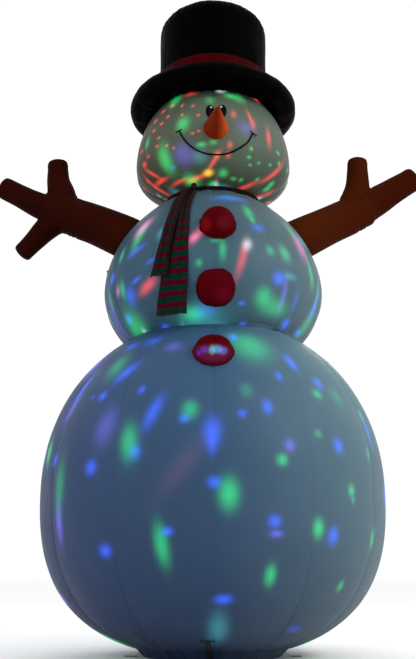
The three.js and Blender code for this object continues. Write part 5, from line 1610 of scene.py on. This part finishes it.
for side, az in (("front", -2.4), ("right", 90), ("rear", 180), ("left", -90)):
    stake_loop(side, az)


# ------------------------------------------------------------------ blower
BL = np.array(Matrix.Translation(HOLE_P) @ Matrix.Rotation(math.radians(-120.5), 4, "X"))


def to_blower(p):
    return np.asarray(p, float) @ BL[:3, :3].T + BL[:3, 3]


def lathe_piece(name, prof, mat, segs=96, wob=None):
    """Closed lathe about the blower's axis."""
    p = np.asarray(prof, float)
    th = np.linspace(0, 2 * np.pi, segs, endpoint=False)
    rows = []
    for i, (r, h) in enumerate(p):
        k = r if wob is None else r + wob(th, i)
        rows.append(np.stack([k * np.cos(th), k * np.sin(th), h + 0 * th], -1))
    verts = to_blower(np.vstack(rows))
    n = len(p)
    faces = [tuple(f) for f in quad_faces(n, segs, True)]
    faces += [((n - 1) * segs + j, (n - 1) * segs + (j + 1) % segs, (j + 1) % segs, j) for j in range(segs)]
    o = link_mesh(name, verts, faces, mat)
    bm2 = bmesh.new()
    bm2.from_mesh(o.data)
    bmesh.ops.recalc_face_normals(bm2, faces=bm2.faces)
    bm2.to_mesh(o.data)
    bm2.free()
    return o


def sharpen(o, deg=35):
    for p in o.data.polygons:
        p.use_smooth = True
    o.data.set_sharp_from_angle(angle=math.radians(deg))
    return o


housing = [(0.150, -0.110), (0.150, -0.04), (0.150, 0.046), (0.1485, 0.066), (0.1465, 0.0705), (0.144, 0.072), (0.142, 0.0705), (0.1405, 0.0665), (0.1405, 0.0635), (0.1455, 0.0625), (0.146, 0.03), (0.146, -0.04), (0.146, -0.110)]
o = sharpen(lathe_piece("blower_casing", housing, MAT["blower"]))
put(o, "blower_plastic", "blower_housing")


def grille():
    verts, faces = [], []

    def addmesh(v, f):
        b = len(verts)
        verts.extend([tuple(x) for x in v])
        faces.extend([tuple(b + i for i in q) for q in f])

    def ring_tube(R, rr, h, segs=96, sides=10):
        th = np.linspace(0, 2 * np.pi, segs, endpoint=False)
        a = np.linspace(0, 2 * np.pi, sides, endpoint=False)
        v = []
        for t in th:
            for x in a:
                r = R + rr * math.cos(x)
                v.append((r * math.cos(t), r * math.sin(t), h + rr * math.sin(x)))
        f = []
        for i in range(segs):
            for j in range(sides):
                f.append((i * sides + j, ((i + 1) % segs) * sides + j, ((i + 1) % segs) * sides + (j + 1) % sides, i * sides + (j + 1) % sides))
        addmesh(v, f)

    for R in (0.138, 0.124, 0.110, 0.096, 0.082, 0.068, 0.054, 0.040, 0.026):
        ring_tube(R, 0.0021 if R < 0.13 else 0.003, 0.0618)
    for i in range(8):
        a = 2 * math.pi * i / 8
        d, s = np.array([math.cos(a), math.sin(a), 0]), np.array([-math.sin(a), math.cos(a), 0])
        w, h0, h1 = 0.0024, 0.0590, 0.0655
        v = []
        for r in (0.010, 0.1385):
            for ww, h in ((-w, h0), (w, h0), (w, h1 - 0.001), (w * 0.5, h1), (-w * 0.5, h1), (-w, h1 - 0.001)):
                v.append(d * r + s * ww + np.array([0, 0, h]))
        f = [(j, (j + 1) % 6, 6 + (j + 1) % 6, 6 + j) for j in range(6)] + [tuple(range(5, -1, -1)), tuple(range(6, 12))]
        addmesh(v, f)
    th = np.linspace(0, 2 * np.pi, 40, endpoint=False)
    v, prof = [], [(0.016, 0.0585), (0.0165, 0.064), (0.014, 0.0672), (0.004, 0.0680)]
    for r, h in prof:
        for t in th:
            v.append((r * math.cos(t), r * math.sin(t), h))
    f = [tuple(q) for q in quad_faces(4, 40, True)] + [tuple(range(39, -1, -1)), tuple(range(120, 160))]
    addmesh(v, f)
    o = link_mesh("blower_guard", to_blower(verts), faces, MAT["blower"])
    bm2 = bmesh.new()
    bm2.from_mesh(o.data)
    bmesh.ops.recalc_face_normals(bm2, faces=bm2.faces)
    bm2.to_mesh(o.data)
    bm2.free()
    sharpen(o)
    put(o, "blower_plastic", "blower_intake_grille")


grille()


def impeller():
    verts, faces = [], []
    th = np.linspace(0, 2 * np.pi, 48, endpoint=False)
    prof = [(0.032, -0.012), (0.032, 0.026), (0.028, 0.033), (0.008, 0.034)]
    for r, h in prof:
        for t in th:
            verts.append((r * math.cos(t), r * math.sin(t), h))
    faces += [tuple(q) for q in quad_faces(4, 48, True)] + [tuple(range(47, -1, -1)), tuple(range(144, 192))]
    for k in range(6):
        a0 = 2 * math.pi * k / 6
        b = len(verts)
        n = 18
        for i in range(n):
            t = i / (n - 1)
            r = 0.030 + (0.133 - 0.030) * t
            sweep = a0 + 0.18 * math.sin(t * 1.6)
            chord = 0.042 * (1 - 0.2 * t)
            pitch = math.radians(38 - 16 * t)
            d = np.array([math.cos(sweep), math.sin(sweep), 0])
            s = np.array([-math.sin(sweep), math.cos(sweep), 0])
            for side in (1, -1):
                for c in (-0.5, -0.2, 0.1, 0.5):
                    cc = c * chord
                    camber = 0.004 * (1 - (2 * c) ** 2)
                    thick = 0.0013 * side * (1 - abs(c) * 0.9)
                    p = d * r + s * (cc * math.cos(pitch)) + np.array([0, 0, 0.011 + cc * math.sin(pitch) + camber + thick])
                    verts.append(tuple(p))
        for i in range(n - 1):
            q0, q1 = b + i * 8, b + (i + 1) * 8
            order = [0, 1, 2, 3, 7, 6, 5, 4]
            for j in range(8):
                a, c = order[j], order[(j + 1) % 8]
                faces.append((q0 + a, q0 + c, q1 + c, q1 + a))
        faces.append(tuple(b + j for j in (0, 1, 2, 3, 7, 6, 5, 4)))
        e = b + (n - 1) * 8
        faces.append(tuple(e + j for j in (4, 5, 6, 7, 3, 2, 1, 0)))
    o = link_mesh("blower_fan", to_blower(verts), faces, MAT["blower"])
    bm2 = bmesh.new()
    bm2.from_mesh(o.data)
    bmesh.ops.recalc_face_normals(bm2, faces=bm2.faces)
    bm2.to_mesh(o.data)
    bm2.free()
    sharpen(o)
    put(o, "blower_plastic", "blower_impeller", body="impeller")


impeller()


def collar():
    """Elastic sleeve, gathered round the casing and sewn to the skin."""
    S = 240
    th = np.linspace(0, 2 * np.pi, S, endpoint=False)
    b = BALLS["bottom"]
    pleat = np.sin(th * 44 + 1.5 * noise1(th * 5, 301))
    rows = []
    rr = np.linspace(0.1765, 0.1530, 14)
    for top in (1, 0):
        seq = rr if top else rr[::-1]
        for i, r in enumerate(seq):
            t = (0.1765 - r) / (0.1765 - 0.153)
            p = np.stack([r * np.cos(th), r * np.sin(th), 0 * th], -1)
            w = to_blower(p)
            # drop on to the skin along the blower axis
            for _ in range(3):
                f, n = ball_gap("bottom", w)
                w = w - (f / np.maximum((n @ np.array(OUT)), 0.3))[:, None] * np.array(OUT)
            h = (0.0012 + (0.014 * t**2 + 0.0035 * t * (1 + pleat) * 0.5 + 0.002)) if top else 0.0008
            w = w + np.array(OUT) * np.reshape(h, (-1, 1)) * 1.0
            rows.append(w)
    verts = np.vstack(rows)
    n = len(rows)
    faces = [tuple(f) for f in quad_faces(n, S, True)]
    faces += [((n - 1) * S + j, (n - 1) * S + (j + 1) % S, (j + 1) % S, j) for j in range(S)]
    o = link_mesh("blower_collar", verts, faces, MAT["webbing"])
    bm2 = bmesh.new()
    bm2.from_mesh(o.data)
    bmesh.ops.recalc_face_normals(bm2, faces=bm2.faces)
    bm2.to_mesh(o.data)
    bm2.free()
    put(o, "webbing", "blower_port_ring")


collar()

# ------------------------------------------------------------------ zip
ZZ = 0.95


def zip_r(off, az=None):
    return float(r_bottom(ZZ)) + off


def zip_parts():
    r0 = float(r_bottom(0.97)) + 0.001
    half = math.radians(11)
    ang = np.linspace(math.pi - half, math.pi + half, 160)
    S = len(ang)
    up = np.linspace(-0.020, 0.020, 15)
    rows_t, rows_b = [], []
    for u in up:
        edge = 0.0007 * math.exp(-((abs(u) - 0.017) / 0.0015) ** 2)
        rip = 0.0010 * np.sin(ang * 190 + 4 * u * 100) * (abs(u) / 0.02) ** 2
        rows_t.append(np.stack([(r0 + 0.0026 + edge + rip) * np.sin(ang), -(r0 + 0.0026 + edge + rip) * np.cos(ang), ZZ + u + 0 * ang], -1))
        rows_b.append(np.stack([(r0 + 0.0002) * np.sin(ang), -(r0 + 0.0002) * np.cos(ang), ZZ + u + 0 * ang], -1))
    n, m = len(up), S
    verts = np.vstack(rows_t + rows_b)
    q1 = quad_faces(n, m, False)
    N = n * m
    faces = [tuple(f) for f in q1] + [tuple((f + N)[::-1]) for f in q1]
    for i in range(n - 1):
        faces.append((i * m, (i + 1) * m, (i + 1) * m + N, i * m + N))
        faces.append((i * m + m - 1, i * m + m - 1 + N, (i + 1) * m + m - 1 + N, (i + 1) * m + m - 1))
    for j in range(m - 1):
        faces.append((j, j + N, j + 1 + N, j + 1))
        a = (n - 1) * m + j
        faces.append((a, a + 1, a + 1 + N, a + N))
    o = link_mesh("zip_tape_woven", verts, faces, MAT["zip"])
    bm2 = bmesh.new()
    bm2.from_mesh(o.data)
    bmesh.ops.recalc_face_normals(bm2, faces=bm2.faces)
    bm2.to_mesh(o.data)
    bm2.free()
    put(o, "zip_tape", "zipper_tape")
    # interlocked teeth
    verts, faces = [], []
    step = 0.0046 / (r0 + 0.0045)
    a = math.pi - half + math.radians(0.5)
    k = 0
    while a < math.pi + half - math.radians(0.5):
        d = np.array([math.sin(a), -math.cos(a), 0])
        s = np.array([math.cos(a), math.sin(a), 0])
        sg = 1 if k % 2 else -1
        b = len(verts)
        for h in (0.0031, 0.0056):
            for x, z in ((-0.0011, -0.0040 * sg), (0.0011, -0.0040 * sg), (0.0017, 0.0012 * sg), (-0.0017, 0.0012 * sg)):
                k2 = 1 if h < 0.004 else 0.86
                verts.append(tuple(d * (r0 + h) + s * x * k2 + np.array([0, 0, ZZ + z * k2])))
        faces += [(b + 3, b + 2, b + 1, b), (b + 4, b + 5, b + 6, b + 7)] + [(b + j, b + (j + 1) % 4, b + 4 + (j + 1) % 4, b + 4 + j) for j in range(4)]
        a += step
        k += 1
    o = link_mesh("zip_teeth_row", verts, faces, MAT["zipmetal"], smooth=False)
    bm2 = bmesh.new()
    bm2.from_mesh(o.data)
    bmesh.ops.recalc_face_normals(bm2, faces=bm2.faces)
    bm2.to_mesh(o.data)
    bm2.free()
    put(o, "zip_metal", "zipper_teeth")


zip_parts()


def bevelled(o, width, segments=3):
    m = o.modifiers.new("Bevel", "BEVEL")
    m.width, m.segments, m.limit_method, m.angle_limit = width, segments, "ANGLE", math.radians(30)
    dg = bpy.context.evaluated_depsgraph_get()
    me = bpy.data.meshes.new_from_object(o.evaluated_get(dg))
    o.modifiers.clear()
    o.data = me
    for p in me.polygons:
        p.use_smooth = True
    me.set_sharp_from_angle(angle=math.radians(40))
    return o


def cad_copy(node, name, mat, slot_name, body, bevel):
    src = frame["nodes"][node]
    me = src.data.copy()
    o = bpy.data.objects.new(name, me)
    scene.collection.objects.link(o)
    bm2 = bmesh.new()
    bm2.from_mesh(me)
    bmesh.ops.remove_doubles(bm2, verts=bm2.verts, dist=1e-6)
    bmesh.ops.dissolve_limit(bm2, angle_limit=math.radians(1), verts=bm2.verts, edges=bm2.edges)
    bm2.to_mesh(me)
    bm2.free()
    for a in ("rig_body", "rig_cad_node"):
        if a in o:
            del o[a]
    me.materials.clear()
    me.materials.append(mat)
    bevelled(o, bevel)
    put(o, slot_name, node, body=body)
    return o


cad_copy("zipper_slider", "zip_slider_body", MAT["zipmetal"], "zip_metal", "zip_slider", 0.0012)
cad_copy("zipper_pull", "zip_pull_tag", MAT["zipmetal"], "zip_metal", "zip_pull", 0.0008)
cad_copy("blower_power_inlet", "blower_inlet_box", MAT["blower"], "blower_plastic", ROOT, 0.0018)

# ------------------------------------------------------------------ carried-over CAD nodes
plain_ball = thin_fabric("base_fabric", (0.16, 0.22, 0.30), 0.6)
CARRIED = {
    "base_panel": plain_ball, "waist_seam_tape": MAT["webbing"], "neck_seam_tape": MAT["webbing"],
    "light_strap_middle": MAT["webbing"], "light_strap_head": MAT["webbing"], "blower_motor": MAT["motor"],
    "harness_lower": MAT["lead"], "harness_middle": MAT["lead"], "harness_upper": MAT["lead"],
}
for p in ("bottom", "middle", "head"):
    CARRIED[f"light_housing_{p}"] = MAT["podcase"]
    CARRIED[f"light_board_{p}"] = MAT["board"]
    CARRIED[f"light_motor_{p}"] = MAT["motor"]
    CARRIED[f"light_dome_{p}"] = MAT["lens"]
for node, mat in CARRIED.items():
    o = frame["nodes"][node]
    o.data.materials.clear()
    o.data.materials.append(mat)

# ------------------------------------------------------------------ floor
verts, faces = [], []
N, H = 60, 150.0
for i in range(N + 1):
    for j in range(N + 1):
        verts.append((-H + 2 * H * i / N, -H + 2 * H * j / N, -0.0005))
faces = [tuple(f) for f in quad_faces(N + 1, N + 1, False)]
floor = link_mesh("studio_floor", verts, [f[::-1] for f in faces], fl.m)
if floor.data.polygons[0].normal.z < 0:
    floor.data.flip_normals()
